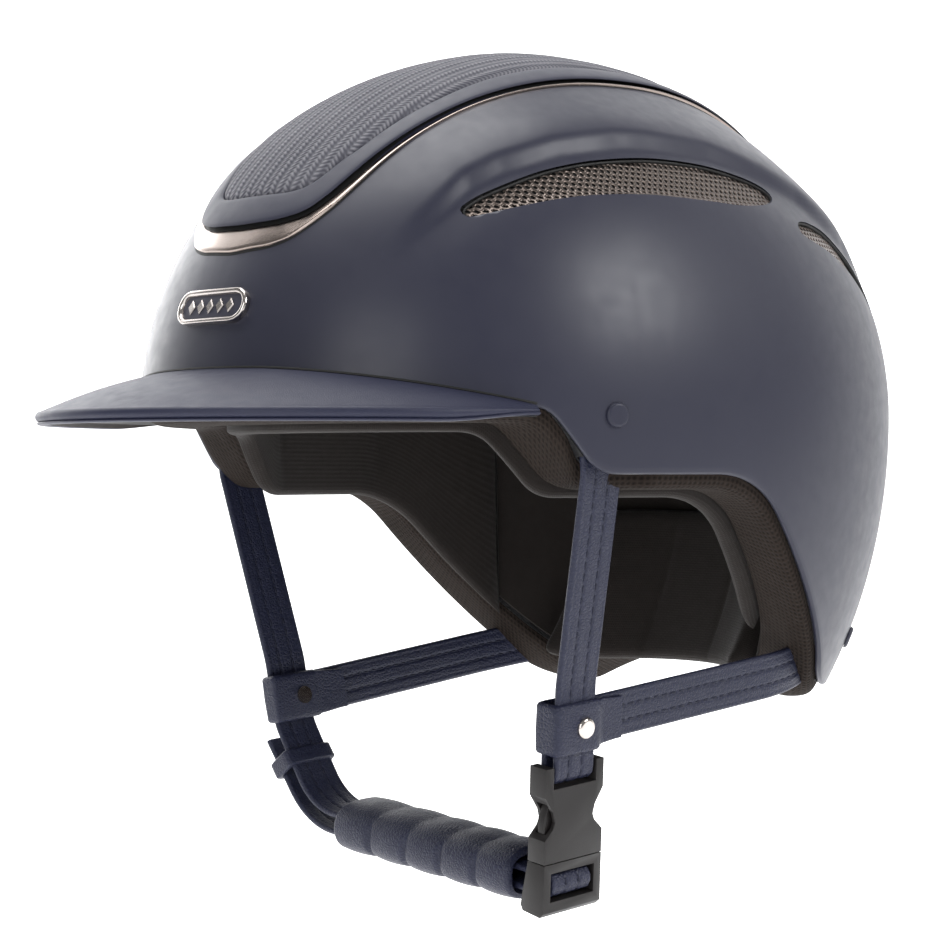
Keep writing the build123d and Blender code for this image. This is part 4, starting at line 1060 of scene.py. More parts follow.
# ---------------------------------------------------------------- peak
@dataclass
class Peak:
    """Leather-covered peak: upper cover rolled over the edge, lining under it and an edge welt."""

    half_width: float = 90.5
    reach: float = 100.0
    root_y: float = -55.0
    edge_z: float = 19.6
    seam: tuple = (32.5, 21.0)
    power: float = 2.05
    roll: float = 1.7
    count: int = 280

    def edge(self, inset) -> Array:
        """Plan outline of the peak: half a superellipse from the left side to the right, with its
        shares across and along.
        """
        turn = np.linspace(0, math.pi, self.count)
        across, along = np.cos(turn), np.sin(turn)
        radius = (np.abs(across) ** self.power + along**self.power) ** (-1 / self.power)
        x = (self.half_width - inset) * radius * across
        y = self.root_y - (self.reach - inset) * radius * along
        return np.stack([x, y, radius * across, radius * along], 1)

    def seam_line(self, inset: float) -> Array:
        """Points where the upper cover meets the shell, moved into the shell by an inset."""
        edge = self.edge(0.0)
        front = WIDEST_Y - SHELL.front
        y = self.root_y + (front + inset - self.root_y) * edge[:, 3]
        share = np.abs((WIDEST_Y - y) / SHELL.front) ** PLAN_POWER
        shell_x = SHELL.half_width * np.maximum(1 - share, 0) ** (1 / PLAN_POWER) - inset
        x = np.minimum(shell_x, (self.half_width - 1) * np.abs(edge[:, 2])) * np.sign(edge[:, 2])
        z = self.seam[0] + (self.seam[1] - self.seam[0]) * (y - front) / (self.root_y - front)
        return np.stack([x, y, z], 1)

    def section(self, depth: float, inset: float, rows: int) -> Array:
        """Surface from the seam to the edge at a depth, lifted by a slow swelling between them."""
        seam = self.seam_line(0.8) - np.array([0, 0, depth])
        plan = self.edge(inset)
        rim = np.stack([plan[:, 0], plan[:, 1], np.full(self.count, self.edge_z - depth)], 1)
        share = np.linspace(0, 1, rows)[:, None, None]
        surface = seam + (rim - seam) * share
        surface[..., 2] += 1.1 * np.sin(math.pi * share[..., 0]) * self.edge(0.0)[None, :, 3] ** 0.5
        return surface

    def build(self) -> None:
        """Makes the cover, the lining and the welt.

        The cover's loop runs over the top, round the edge on an arc of the roll radius, and back
        under. It thins to a third at the two ends, where the peak runs out along the shell.
        """
        self.build_cover()
        self.build_lining()
        self.build_welt()

    def thin(self) -> Array:
        """Share of full thickness round the outline, low at both ends."""
        along = self.edge(0.0)[:, 3]
        return 0.40 + 0.60 * smooth(0.0, 0.35, along)

    def build_cover(self) -> None:
        """Leather cover with its rolled edge."""
        roll = self.roll * self.thin()[:, None]
        top = self.section(0.0, 1.6, 44)
        inner, outer = self.edge(1.7), self.edge(0.7)
        outward = np.stack([*(outer - inner)[:, :2].T, np.zeros(self.count)], 1)
        centre = np.stack([inner[:, 0], inner[:, 1], self.edge_z - roll[:, 0]], 1)
        bend = np.linspace(math.radians(80), math.radians(-90), 12)[:, None, None]
        bead = centre + unit(outward) * roll * np.cos(bend) + np.array([0, 0, 1.0]) * roll * np.sin(bend)
        under = self.section(0.0, 4.0, 30)[::-1][1:]
        under[..., 2] -= 2 * roll[None, :, 0] * (0.75 + 0.25 * np.linspace(1, 0, 29)[:, None])
        loop = np.concatenate([top[:-1], bead, under]).transpose(1, 0, 2)
        skin = Skin().grid(loop, wrap=(False, True), caps=True)
        obj = skin.piece("peak_leather", [STYLE.get("peak_leather")], sharp=70)
        settle(obj, "helmet", "peak_leather", "peak_cover")
        # Dark cord where the cover meets the shell: painted shade in the crease between them.
        seam = self.seam_line(0.8)
        turn = np.linspace(0, math.tau, 8, endpoint=False)[None, :, None]
        tangent = unit(np.gradient(seam, axis=0))
        side = unit(np.cross(tangent, np.array([0, 0, 1.0])))
        up = np.cross(side, tangent)
        cord = (seam - side * 0.35)[:, None] + 0.55 * (side[:, None] * np.cos(turn) + up[:, None] * np.sin(turn))
        obj = Skin().grid(cord, wrap=(False, True), caps=True).piece("peak_seam_shade", [STYLE.get("intake_dark")])
        settle(obj, "helmet", "intake_dark")

    def build_lining(self) -> None:
        """Fabric under the peak, a thin sheet that stops short of the edge."""
        sheet = self.section(0.0, 4.5, 30)
        sheet[..., 2] -= 2 * self.roll * self.thin()[None] + 0.05
        low = sheet - np.array([0, 0, 0.6])
        loop = np.concatenate([sheet, low[::-1]]).transpose(1, 0, 2)
        skin = Skin().grid(loop, wrap=(False, True), caps=True)
        obj = skin.piece("peak_underside", [STYLE.get("pad_fabric")])
        settle(obj, "helmet", "pad_fabric", "peak_lining")

    def build_welt(self) -> None:
        """Edge welt: a flattened cord along the outline, under the rolled leather."""
        inner, outer = self.edge(2.1), self.edge(1.1)
        outward = unit((outer - inner)[:, :2])
        thin = self.thin()
        bend = np.linspace(0, math.tau, 14, endpoint=False)
        ring = np.zeros((self.count, 14, 3))
        ring[..., :2] = inner[:, None, :2] + outward[:, None] * np.cos(bend)[None, :, None] * 1.5
        ring[..., 2] = self.edge_z - 2 * self.roll * thin[:, None] - 0.35 * thin[:, None] + 0.62 * np.sin(bend)[None]
        skin = Skin().grid(ring, wrap=(False, True), caps=True)
        obj = skin.piece("peak_edge_welt", [STYLE.get("peak_leather")])
        settle(obj, "helmet", "peak_leather", "peak_welt")


# ---------------------------------------------------------------- lining
@dataclass
class Lining:
    """Mesh band round the edge and the padded pieces inside the liner."""

    columns: int = 420
    band_drop: float = 5.5
    strap_y: float = -30.0
    strap_room: float = 3.4

    def build(self) -> None:
        """Makes the band, the comfort lining and the three pads."""
        self.build_band()
        self.build_comfort()
        self.build_headband()
        self.build_nape()
        self.build_crown()

    def build_band(self) -> None:
        """Mesh band: at every turn a rounded box profile between the shell's inside and the
        cavity, hung below the lower edge.
        """
        turn = np.linspace(0, math.tau, self.columns, endpoint=False)[None]
        bend = np.linspace(0, math.pi, 40)[:, None]
        wide = 0.5 - 0.5 * np.sign(np.cos(bend)) * np.abs(np.cos(bend)) ** 0.55
        drop = self.band_drop * np.sin(bend) ** 0.5
        outer_rise = np.linspace(-6, 0, 5, endpoint=False)[:, None]
        inner_rise = np.linspace(0, -20, 12)[1:, None]
        wide = np.vstack([np.zeros((5, 1)), wide, np.ones((11, 1))])
        drop = np.vstack([outer_rise, drop, inner_rise])
        along_y = SHELL.inset(2.7).point(turn, np.zeros_like(turn))[..., 1]
        front_room = 1 - smooth(9.5, 15.0, np.abs(along_y - self.strap_y))
        start = SHELL.inset(2.7 + self.strap_room * front_room)
        egg = start.toward(CAVITY.inset(-0.4), wide)
        level = edge_level(egg, turn, drop)
        points = egg.point(turn, level)
        spread = np.linalg.norm(np.diff(points, axis=0), axis=-1).mean(1)
        down = np.concatenate([[0], np.cumsum(spread)])
        around = np.linalg.norm(np.diff(np.concatenate([points[20], points[20][:1]]), axis=0), axis=-1)
        along = np.concatenate([[0], np.cumsum(around)])
        uv = np.stack(np.meshgrid(along, down), -1)
        back = np.linspace(1, 0, 6)[1:-1, None]
        hidden = start.toward(CAVITY.inset(-0.4), back)
        hidden_drop = np.linspace(-20, -6, 6)[1:-1, None] * np.ones_like(turn)
        hidden_points = hidden.point(turn, edge_level(hidden, turn, hidden_drop))
        loop = np.concatenate([points, hidden_points])
        extra = np.repeat(uv[-1:], len(hidden_points) + 1, 0)
        skin = Skin().grid(loop, wrap=(True, True), uv=np.concatenate([uv, extra]))
        obj = skin.piece("rim_band", [STYLE.get("edge_mesh")])
        settle(obj, "helmet", "edge_mesh", "rim_mesh_band")

    def build_comfort(self) -> None:
        """Thin comfort lining over the whole cavity wall, from the band's inner edge to the crown.

        Heights between the lower edge and the crown follow the sine of an angle, as on the shell,
        and shallow channels are pressed in along eight meridians.
        """
        columns = 300
        turn = np.linspace(0, math.tau, columns, endpoint=False)
        sheets = []
        for depth in (0.05, 0.95):
            egg = CAVITY.inset(depth)
            edge = edge_level(egg, turn, np.zeros_like(turn)) + 1.5
            start = np.arcsin((edge - WIDEST_Z) / np.where(edge > WIDEST_Z, egg.rise, egg.drop))
            angle = start + (math.radians(89) - start) * np.linspace(0, 1, 60)[:, None]
            level = WIDEST_Z + np.where(angle > 0, egg.rise, egg.drop) * np.sin(angle)
            channel = 0.5 * np.exp(-((np.sin(4 * turn) / 0.10) ** 2))[None] * (depth > 0.5)
            sheets.append(CAVITY.inset(depth - channel).point(turn[None], level))
        outer, inner = sheets
        skin = Skin().grid(np.concatenate([outer[::-1], inner]), wrap=(False, True), caps=True)
        obj = skin.piece("comfort_lining", [STYLE.get("pad_fabric")], sharp=70)
        settle(obj, "helmet", "pad_fabric")

    @staticmethod
    def puff(share: Array, count: int) -> Array:
        """Quilting: 0 at each of count + 1 seams and a rounded arch between them."""
        return np.abs(np.sin(math.pi * share * count)) ** 0.45

    def build_headband(self) -> None:
        """Comfort band round the front and sides, puffed between its upright seams.

        The cross-section is a stadium carried along the cavity wall; its thickness closes at both
        ends as a half ellipse, and the inner face is pulled out at each seam.
        """
        columns = 260
        share = np.linspace(0, 1, columns)
        turn = math.radians(30) - share * math.radians(240)
        loop = stadium(60.0, 6.0, flats=26, rounds=8)
        up = (loop[:, 0] + 30.0)[:, None] / 60.0
        through = (loop[:, 1] + 3.0)[:, None]
        ends = np.sqrt(np.clip(1 - (np.abs(2 * share - 1)) ** 60, 0.02, 1))[None]
        swell = 1 + 0.32 * self.puff(share, 8)[None] * np.sin(math.pi * np.clip(up, 0, 1)) ** 0.5 - 0.12
        depth = 0.35 + through * ends * np.where(through > 3.0, swell, 1.0)
        egg = CAVITY.inset(depth)
        bottom = edge_level(CAVITY.inset(3.0), turn, np.full(columns, 8.0))[None]
        level = bottom + (44.0 - bottom) * up
        points = egg.point(turn[None], level).transpose(1, 0, 2)
        self.pad("headband_padding", points, "headband_pad")

    def build_nape(self) -> None:
        """Nape pad: a pillow on the rear cavity wall with a piped border and two seams."""
        columns = 110
        across = np.linspace(-1, 1, columns)
        waist = 1 - 0.05 * np.cos(math.pi * across / 2)
        loop = stadium(56.0, 9.0, flats=30, rounds=8)
        up = loop[:, 0][:, None] * waist[None]
        ends = np.sqrt(np.clip(1 - np.abs(across) ** 22, 0.02, 1))[None]
        swell = 0.86 + 0.26 * self.puff((across + 1) / 2, 3)[None] * np.cos(math.pi * up / 60)
        depth = 0.35 + (loop[:, 1][:, None] + 4.5) * ends * swell
        low = -40.0 + up * (0.80 + 0.20 * np.sqrt(np.clip(1 - across**8, 0, 1)))[None]
        egg = CAVITY.inset(depth)
        half = 48.0 * across[None] * np.ones_like(low)
        tall = np.where(low > WIDEST_Z, egg.rise, egg.drop)
        ring = np.clip(1 - ((low - WIDEST_Z) / tall) ** 2, 0, 1) ** (PLAN_POWER / 2)
        rest = np.clip(ring - np.abs(half / egg.half_width) ** PLAN_POWER, 0, 1)
        points = np.stack([half, WIDEST_Y + egg.rear * rest ** (1 / PLAN_POWER), low], -1).transpose(1, 0, 2)
        self.pad("nape_padding", points, "nape_pad")

    def build_crown(self) -> None:
        """Crown pad: a channelled pillow under the top of the cavity."""
        columns = 130
        along = np.linspace(-1, 1, columns)
        loop = stadium(76.0, 5.0, flats=40, rounds=8)
        narrow = (1 - np.abs(along) ** 6 * 0.25)[None]
        x = loop[:, 0][:, None] * narrow
        y = (20.0 + 58.0 * along)[None] * np.ones_like(x)
        ends = np.sqrt(np.clip(1 - np.abs(along) ** 30, 0.02, 1))[None]
        swell = 0.8 + 0.25 * self.puff((x + 38) / 76, 3) * self.puff((along + 1) / 2, 4)[None]
        depth = 0.35 + (loop[:, 1][:, None] + 2.5) * ends * swell
        points = CAVITY.inset(depth).crown(x, y).transpose(1, 0, 2)
        self.pad("crown_padding", points, "crown_pad")

    @staticmethod
    def pad(name: str, points: Array, node: str) -> None:
        """Closes a padded tube, adds surface distances and puts it on the helmet."""
        columns, around = points.shape[:2]
        step = np.linalg.norm(np.diff(points, axis=0), axis=-1).mean(1)
        along = np.concatenate([[0], np.cumsum(step)])
        ring = np.linalg.norm(points[columns // 2] - np.roll(points[columns // 2], 1, 0), axis=-1)
        across = np.concatenate([[0], np.cumsum(ring)])[: around + 1]
        uv = np.stack(np.meshgrid(across, along), -1)
        skin = Skin().grid(points, wrap=(False, True), caps=True, uv=uv)
        obj = skin.piece(name, [STYLE.get("pad_fabric")], sharp=70)
        settle(obj, "helmet", "pad_fabric", node)


# ---------------------------------------------------------------- harness
class Side(Enum):
    """Wearer's side, with the sign of X there."""

    LEFT = 1
    RIGHT = -1


@dataclass
class Harness:
    """Straps, sleeves, chin pad and keeper, drawn in the harness frame as in the CAD."""

    origin_y: float = -31.3
    origin_z: float = 10.0
    tilt: float = 5.0
    width: float = 16.5
    rear_width: float = 15.0
    thick: float = 2.2
    top: tuple = (90.3, 27.0)
    exit_z: float = 1.0
    pivot: tuple = (-68.0, -89.5)
    lean: float = 7.5
    radius: float = 134.4
    sleeve_span: tuple = (22.0, 38.2)
    top_bar: float = 16.3
    top_turn: float = 2.6
    low_bar: float = -19.0
    low_turn: float = 3.0
    slope: float = 2.8
    chin_corner: float = 115.0
    chin_bend: float = 22.0
    rear_pitch: float = 2.2
    rear_path: tuple = ((-6.55, 0.0), (13.0, 0.0), (100.0, 3.2), (140.0, -17.4))
    right_front_seat: float = 0.4
    right_rear_seat: float = -2.0
    pad_start: float = 12.4
    pad_length: float = 86.0
    pad_width: float = 25.8
    pad_thick: float = 17.4
    keeper_length: float = 6.0

    def __post_init__(self) -> None:
        """Works out the buckle's centre and its outward and upward directions."""
        lean, slope = math.radians(self.lean), math.radians(self.slope)
        self.outward = np.array([math.cos(lean), 0.0, -math.sin(lean)])
        self.upward = np.array([math.sin(lean), 0.0, math.cos(lean)])
        self.centre = np.array([
            self.pivot[0] + self.radius * math.cos(lean), 0.0, self.pivot[1] - self.radius * math.sin(lean)
        ])
        self.inward = np.array([-math.cos(slope), -math.sin(slope)])
        self.lift = np.array([-math.sin(slope), math.cos(slope)])

    def world(self, points: Array, side: Side = Side.LEFT) -> Array:
        """Harness points in the helmet's frame: tilted about X and moved, then mirrored for the
        right side.
        """
        tilt = math.radians(self.tilt)
        x, y, z = np.moveaxis(np.asarray(points, float), -1, 0)
        z = z - self.origin_z
        turned_y = y * math.cos(tilt) - z * math.sin(tilt) + self.origin_y
        turned_z = y * math.sin(tilt) + z * math.cos(tilt) + self.origin_z
        return np.stack([x * side.value, turned_y, turned_z], -1)

    def turned(self, vector: Array, side: Side = Side.LEFT) -> Array:
        """A harness direction in the helmet's frame."""
        return self.world(vector, side) - self.world(np.zeros(3), side)

    def side_point(self, x: float, z: float) -> tuple:
        """A harness x and z as outward and upward distances from the buckle's centre."""
        offset = np.array([x, 0.0, z]) - self.centre
        return float(offset @ self.outward), float(offset @ self.upward)

    def along_pad(self, distance: float, above: float = 0.0) -> Array:
        """Point in the strap plane at a distance inward from the low bar along the pad line."""
        return np.array([0.0, self.low_bar]) + self.inward * distance + self.lift * above

    def strap(self, name: str, path: Array, side: Side, width: float, body: str, node: str,
              middle: Array | None = None, back: Array | None = None, across: Array | None = None) -> bpy.types.Object:
        """Leather strap carried along a path in a plane.

        The cross-section is a stadium whose two stitch rows are pressed in and whose three panels
        swell slightly. Each point is the path point plus the path's own normal times the
        thickness plus the plane's normal times the width.

        Args:
            name: Name of the piece.
            path: (outward, along) points in the plane.
            side: Wearer's side.
            width: Strap width.
            body: CAD body it rides on, or an empty string to leave it free.
            node: CAD node it stands for.
            middle: Origin of the plane, the buckle's centre if left out.
            back: Second direction of the plane, upward if left out.
            across: Width direction, Y if left out.

        Returns:
            The piece.
        """
        middle = self.centre if middle is None else middle
        back = self.upward if back is None else back
        across = np.array([0.0, -1.0, 0.0]) if across is None else across
        length = np.linalg.norm(np.diff(path, axis=0), axis=1).sum()
        line = resample(path, max(int(length / 1.6), 12))
        tangent = unit(np.gradient(line, axis=0))
        normal = np.stack([tangent[:, 1], -tangent[:, 0]], 1)
        loop = self.section(width)
        flat = line[:, None] + normal[:, None] * loop[None, :, 1:]
        points = middle + flat[..., :1] * self.outward + flat[..., 1:] * back + loop[None, :, :1] * across
        rows = len(line)
        along = np.linspace(0, length, rows)
        round_loop = np.concatenate([[0], np.cumsum(np.linalg.norm(loop - np.roll(loop, 1, 0), axis=1))])
        uv = np.stack(np.meshgrid(round_loop[: len(loop) + 1], along), -1)
        skin = Skin().grid(self.world(points, side), wrap=(False, True), caps=True, uv=uv)
        self.stitch(skin, line, tangent, normal, width, middle, back, across, side)
        obj = skin.piece(name, [STYLE.get("strap_leather"), STYLE.get("strap_thread")], sharp=60)
        if body:
            settle(obj, body, "strap_leather", node)
        return obj

    def section(self, width: float) -> Array:
        """Strap cross-section: a stadium pressed in along the stitch rows."""
        loop = stadium(width, self.thick, flats=44, rounds=8)
        row = np.abs(np.abs(loop[:, 0]) - width / 6)
        pressed = 0.34 * np.exp(-((row / 0.62) ** 2))
        edge_row = 0.10 * np.exp(-(((width / 2 - 1.9 - np.abs(loop[:, 0])) / 0.5) ** 2))
        loop[:, 1] -= np.sign(loop[:, 1]) * (pressed + edge_row) * (np.abs(loop[:, 1]) > self.thick * 0.3)
        return loop

    def stitch(self, skin: Skin, line: Array, tangent: Array, normal: Array, width: float,
               middle: Array, back: Array, across: Array, side: Side) -> None:
        """Two rows of stitches on both faces, each a small ellipsoid of thread in the groove."""
        length = np.linalg.norm(np.diff(line, axis=0), axis=1).sum()
        spots = np.arange(3.0, length - 2.5, 3.7)
        share = spots / length * (len(line) - 1)
        index = np.clip(share.astype(int), 0, len(line) - 2)
        rest = (share - index)[:, None]
        place = line[index] * (1 - rest) + line[index + 1] * rest
        direction, out = unit(tangent[index]), unit(normal[index])
        plane = np.stack([self.outward, back])
        turn = np.linspace(0, math.tau, 6, endpoint=False)
        rise = np.linspace(0, math.pi, 6)
        shape = np.stack([
            np.repeat(-np.cos(rise), 6) * 1.25,
            np.outer(np.sin(rise), np.cos(turn)).ravel() * 0.34,
            np.outer(np.sin(rise), np.sin(turn)).ravel() * 0.24,
        ], 1)
        row, column = np.meshgrid(np.arange(5), np.arange(6), indexing="ij")
        quads = np.stack([row * 6 + column, row * 6 + (column + 1) % 6, (row + 1) * 6 + (column + 1) % 6, (row + 1) * 6 + column], -1).reshape(-1, 4)
        for face in (1, -1):
            for row_side in (1, -1):
                flat = place + out * face * (self.thick / 2 - 0.26)
                points = middle + flat @ plane + across * row_side * width / 6
                axes = np.stack([
                    self.turned(direction @ plane, side),
                    np.broadcast_to(self.turned(across, side), (len(spots), 3)),
                    self.turned(out @ plane, side),
                ], 1)
                skin.copies(shape, quads, self.world(points, side), axes, 1)

    def front_path(self, seat: float, low_end: float) -> Array:
        """Line of a front strap from the temple down through the sleeve."""
        corners = [self.side_point(*self.top), self.side_point(self.top[0], self.exit_z),
                   (seat, self.sleeve_span[1] + 5), (seat, low_end)]
        return filleted(corners, [14, 30])

    def build_front(self) -> None:
        """Both front straps; the left one loops round the buckle's top bar."""
        down = self.front_path(self.top_turn, self.top_bar)
        bend = np.linspace(0, math.pi, 13)[1:, None]
        loop = np.hstack([np.cos(bend), -np.sin(bend)]) * self.top_turn + np.array([0, self.top_bar])
        back = np.array([[-self.top_turn, self.sleeve_span[1] - 3]])
        self.strap("front_strap_leather_left", np.vstack([down, loop, back]), Side.LEFT, self.width, "helmet", "front_strap_left")
        path = self.front_path(self.right_front_seat, self.sleeve_span[0] + 6)
        self.strap("front_strap_leather_right", path, Side.RIGHT, self.width, "helmet", "front_strap_right")

    def build_rear(self) -> None:
        """Both rear straps, from the sleeve to the nape."""
        pitch = math.radians(self.rear_pitch)
        ahead = np.array([0.0, 1.0, 0.0])
        across = self.upward * math.cos(pitch) - ahead * math.sin(pitch)
        back = ahead * math.cos(pitch) + self.upward * math.sin(pitch)
        mid = sum(self.sleeve_span) / 2
        for side, seat in ((Side.LEFT, 0.0), (Side.RIGHT, self.right_rear_seat)):
            corners = [(out, far) for far, out in self.rear_path]
            corners[-2] = (corners[-2][0] - seat, corners[-2][1])
            corners[-1] = (corners[-1][0] - seat, corners[-1][1])
            middle = self.centre + self.upward * mid + self.outward * seat
            word = side.name.lower()
            self.strap(f"rear_strap_leather_{word}", filleted(corners, [30, 55]), side, self.rear_width, "helmet",
                       f"rear_strap_{word}", middle, back, across)

    def chin_corners(self) -> tuple:
        """Corners and direction of the chin strap's far stretch, in the strap plane."""
        pivot = np.array(self.side_point(*self.pivot))
        corner = self.along_pad(self.chin_corner, self.low_turn)
        climb = unit(pivot - corner)
        turn = math.acos(float(self.inward @ climb))
        tail_corner = corner + unit(self.inward - climb) * 2 * self.low_turn / math.cos(turn / 2)
        bend = self.chin_bend * math.tan(turn / 2)
        straight = np.linalg.norm(pivot - corner) - bend
        outward = np.array([-climb[1], climb[0]])
        keeper = corner + climb * (bend + straight / 2 - 0.6) + outward * self.low_turn
        return pivot, corner, climb, tail_corner, keeper, outward

    def build_chin(self) -> None:
        """Chin strap: from inside the right sleeve, bending at the hinge, through the pad, round
        the low bar and back as the tail past the keeper.
        """
        pivot, corner, climb, tail_corner, keeper, outward = self.chin_corners()
        sleeve_low = self.right_strap_point(self.sleeve_span[0] - 0.5)
        sleeve_in = self.right_strap_point(self.sleeve_span[0] + 8.0)
        main = filleted([sleeve_in, sleeve_low, corner, self.along_pad(0, self.low_turn)], [20, self.chin_bend])
        bend = np.linspace(math.pi / 2, -math.pi / 2, 13)[1:-1, None]
        turn = np.array([0, self.low_bar]) - self.inward * np.cos(bend) * self.low_turn + self.lift * np.sin(bend) * self.low_turn
        end = keeper + outward * self.low_turn + climb * (self.keeper_length / 2 + 8.0)
        tail = filleted([self.along_pad(0, -self.low_turn), tail_corner, end], [self.chin_bend + 2 * self.low_turn])
        path = np.vstack([main, turn, tail])
        obj = self.strap("chin_strap_leather", path, Side.LEFT, self.width, "", "chin_strap")
        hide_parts("chin_strap")
        up = self.plane_point(sleeve_low)
        low = self.plane_point(pivot + unit(corner - pivot) * 9.0)
        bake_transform(obj)

    def right_strap_point(self, height: float) -> Array:
        """Point of the right front strap at a height above the buckle level, in the left's plane."""
        local = self.centre + self.outward * self.right_front_seat + self.upward * height
        return np.array(self.side_point(-local[0], local[2]))

    def plane_point(self, place: Array) -> Array:
        """A strap-plane point in the helmet's frame."""
        return self.world(self.centre + place[0] * self.outward + place[1] * self.upward)

    def sleeve(self, side: Side, inner: float, outer: float, rear_seat: float) -> None:
        """Folded sleeve: a rounded loop round the crossing straps, and two leaves that run back
        over the rear strap to a stitched end.
        """
        gap, wall = 0.15, 1.5
        middle = (inner + outer) / 2
        half = self.width / 2 + gap
        deep = (outer - inner) / 2 + gap
        low, high = self.sleeve_span
        turn = np.linspace(0, math.tau, 72, endpoint=False)
        power = 0.28
        box = np.stack([np.sign(np.cos(turn)) * np.abs(np.cos(turn)) ** power,
                        np.sign(np.sin(turn)) * np.abs(np.sin(turn)) ** power], 1)
        rows = []
        ends = [(0.0, 0.25), (0.35, 0.75), (1.1, 1.0), (2.6, 1.0)]
        height = high - low
        profile = ends + [(height / 2, 1.08)] + [(height - up, share) for up, share in reversed(ends)]
        for up, share in profile:
            size = np.array([half + wall * share, deep + wall * share])
            rows.append(np.column_stack([box * size, np.full(72, low + up)]))
        for up in np.linspace(height, 0, 5):
            rows.append(np.column_stack([box * np.array([half, deep]), np.full(72, low + up)]))
        grid = np.stack(rows)
        skin = Skin().grid(self.sleeve_points(grid, middle, side), wrap=(True, True))
        for face in (1, -1):
            leaf = stadium(height - 1.2, 1.3, flats=20, rounds=6)
            far = np.linspace(half - 4.0, half + 12.5, 22)
            close = smooth(half - 2, half + 5, far)[:, None]
            start = middle + face * (deep + wall * 0.45)
            finish = rear_seat + face * (self.thick / 2 + 0.75)
            taper = 1 - 0.10 * smooth(half, half + 12, far)[:, None]
            grid = np.zeros((22, len(leaf), 3))
            grid[..., 0] = far[:, None]
            grid[..., 1] = start + (finish - start) * close + leaf[None, :, 1]
            grid[..., 2] = (low + high) / 2 + leaf[None, :, 0] * taper
            skin.grid(self.sleeve_points(grid, 0.0, side), wrap=(False, True), caps=True)
        word = side.name.lower()
        obj = skin.piece(f"sleeve_leather_{word}", [STYLE.get("strap_leather")], sharp=60)
        settle(obj, "helmet", "strap_leather", f"junction_sleeve_{word}")

    def sleeve_points(self, grid: Array, middle: float, side: Side) -> Array:
        """Sleeve coordinates (back, outward, upward) in the helmet's frame."""
        points = (
            self.centre
            + grid[..., :1] * np.array([0.0, 1.0, 0.0])
            + (grid[..., 1:2] + middle) * self.outward
            + grid[..., 2:] * self.upward
        )
        return self.world(points, side)

    def tube(self, name: str, centre: Array, direction: Array, stations: Array, outer: Array, inner: Array,
             body: str, node: str) -> bpy.types.Object:
        """Hollow tube round the doubled strap: outer loops station by station, then inner loops
        back, closed on itself.
        """
        up = np.array([-direction[1], direction[0]])
        loops = np.concatenate([outer, inner[::-1]])
        places = np.concatenate([stations, stations[::-1]])
        flat = centre + places[:, None, None] * direction + loops[..., 1:] * up
        points = self.centre + flat[..., :1] * self.outward + flat[..., 1:] * self.upward + loops[..., :1] * np.array([0.0, -1.0, 0.0])
        skin = Skin().grid(self.world(points), wrap=(True, True))
        obj = skin.piece(name, [STYLE.get("strap_leather")], sharp=70)
        return settle(obj, body, "strap_leather", node)

    def build_pad(self) -> None:
        """Chin pad: five swelling segments with curved grooves between them, open at both ends."""
        stations = np.linspace(0, self.pad_length, 170)
        turn = np.linspace(0, math.tau, 72, endpoint=False)
        cos, sin = np.cos(turn), np.sin(turn)
        box = np.stack([np.sign(cos) * np.abs(cos) ** 0.72, np.sign(sin) * np.abs(sin) ** 0.86], 1)
        bow = 3.5 * (1 - sin) / 2
        place = stations[:, None] + bow[None] * np.sin(math.pi * stations / self.pad_length)[:, None]
        share = place / self.pad_length * 5
        groove = np.abs(share - np.round(share)) * self.pad_length / 5
        inside = smooth(0.5, 1.0, share) * (1 - smooth(4.0, 4.5, share))
        pinch = 1.25 * np.exp(-((groove / 1.1) ** 2)) * inside * smooth(-0.75, 0.1, sin)[None]
        swell = 0.5 * np.abs(np.sin(math.pi * share))
        end = np.minimum(stations, self.pad_length - stations)
        rolled = 1.3 * (1 - np.sqrt(np.clip(1 - (1 - np.clip(end / 1.6, 0, 1)) ** 2, 0, 1)))
        cut = (pinch - swell + rolled[:, None] + 0.5)[..., None]
        size = np.array([self.pad_width / 2, self.pad_thick / 2])
        outer = box[None] * (size - cut)
        bore_box = np.stack([np.sign(cos) * np.abs(cos) ** 0.5, np.sign(sin) * np.abs(sin) ** 0.7], 1)
        lip = 2.6 * (1 - smooth(0, 3.0, end))[:, None, None]
        bore = np.array([self.width / 2 + 0.9, self.low_turn + self.thick / 2 + 0.7])
        inner = bore_box[None] * (bore + lip * np.array([0.45, 0.55]))
        obj = self.tube("chin_pad_leather", self.along_pad(self.pad_start), self.inward, stations, outer, inner, "chin_pad", "chin_pad")

    def build_keeper(self) -> None:
        """Keeper: a narrow rounded loop across both strap layers."""
        _, _, climb, _, keeper, _ = self.chin_corners()
        stations = np.linspace(-self.keeper_length / 2, self.keeper_length / 2, 14)
        turn = np.linspace(0, math.tau, 64, endpoint=False)
        box = np.stack([np.sign(np.cos(turn)) * np.abs(np.cos(turn)) ** 0.25,
                        np.sign(np.sin(turn)) * np.abs(np.sin(turn)) ** 0.35], 1)
        end = self.keeper_length / 2 - np.abs(stations)
        rolled = (0.7 * (1 - np.sqrt(np.clip(1 - (1 - np.clip(end / 0.8, 0, 1)) ** 2, 0, 1))))[:, None, None]
        bore = np.array([self.width / 2 + 0.4, self.low_turn + self.thick / 2 + 0.4])
        inner = np.broadcast_to(box * bore, (14, 64, 2))
        outer = box[None] * (bore + 1.6 - rolled)
        self.tube("keeper_leather", keeper, climb, stations, outer, inner, "strap_keeper", "strap_keeper")

    def build(self) -> None:
        """Makes every leather piece of the harness."""
        self.build_front()
        self.build_rear()
        self.sleeve(Side.LEFT, -3.7, 3.7, 0.0)
        self.sleeve(Side.RIGHT, -3.1, 1.5, self.right_rear_seat)
        self.build_chin()
        self.build_pad()
        self.build_keeper()


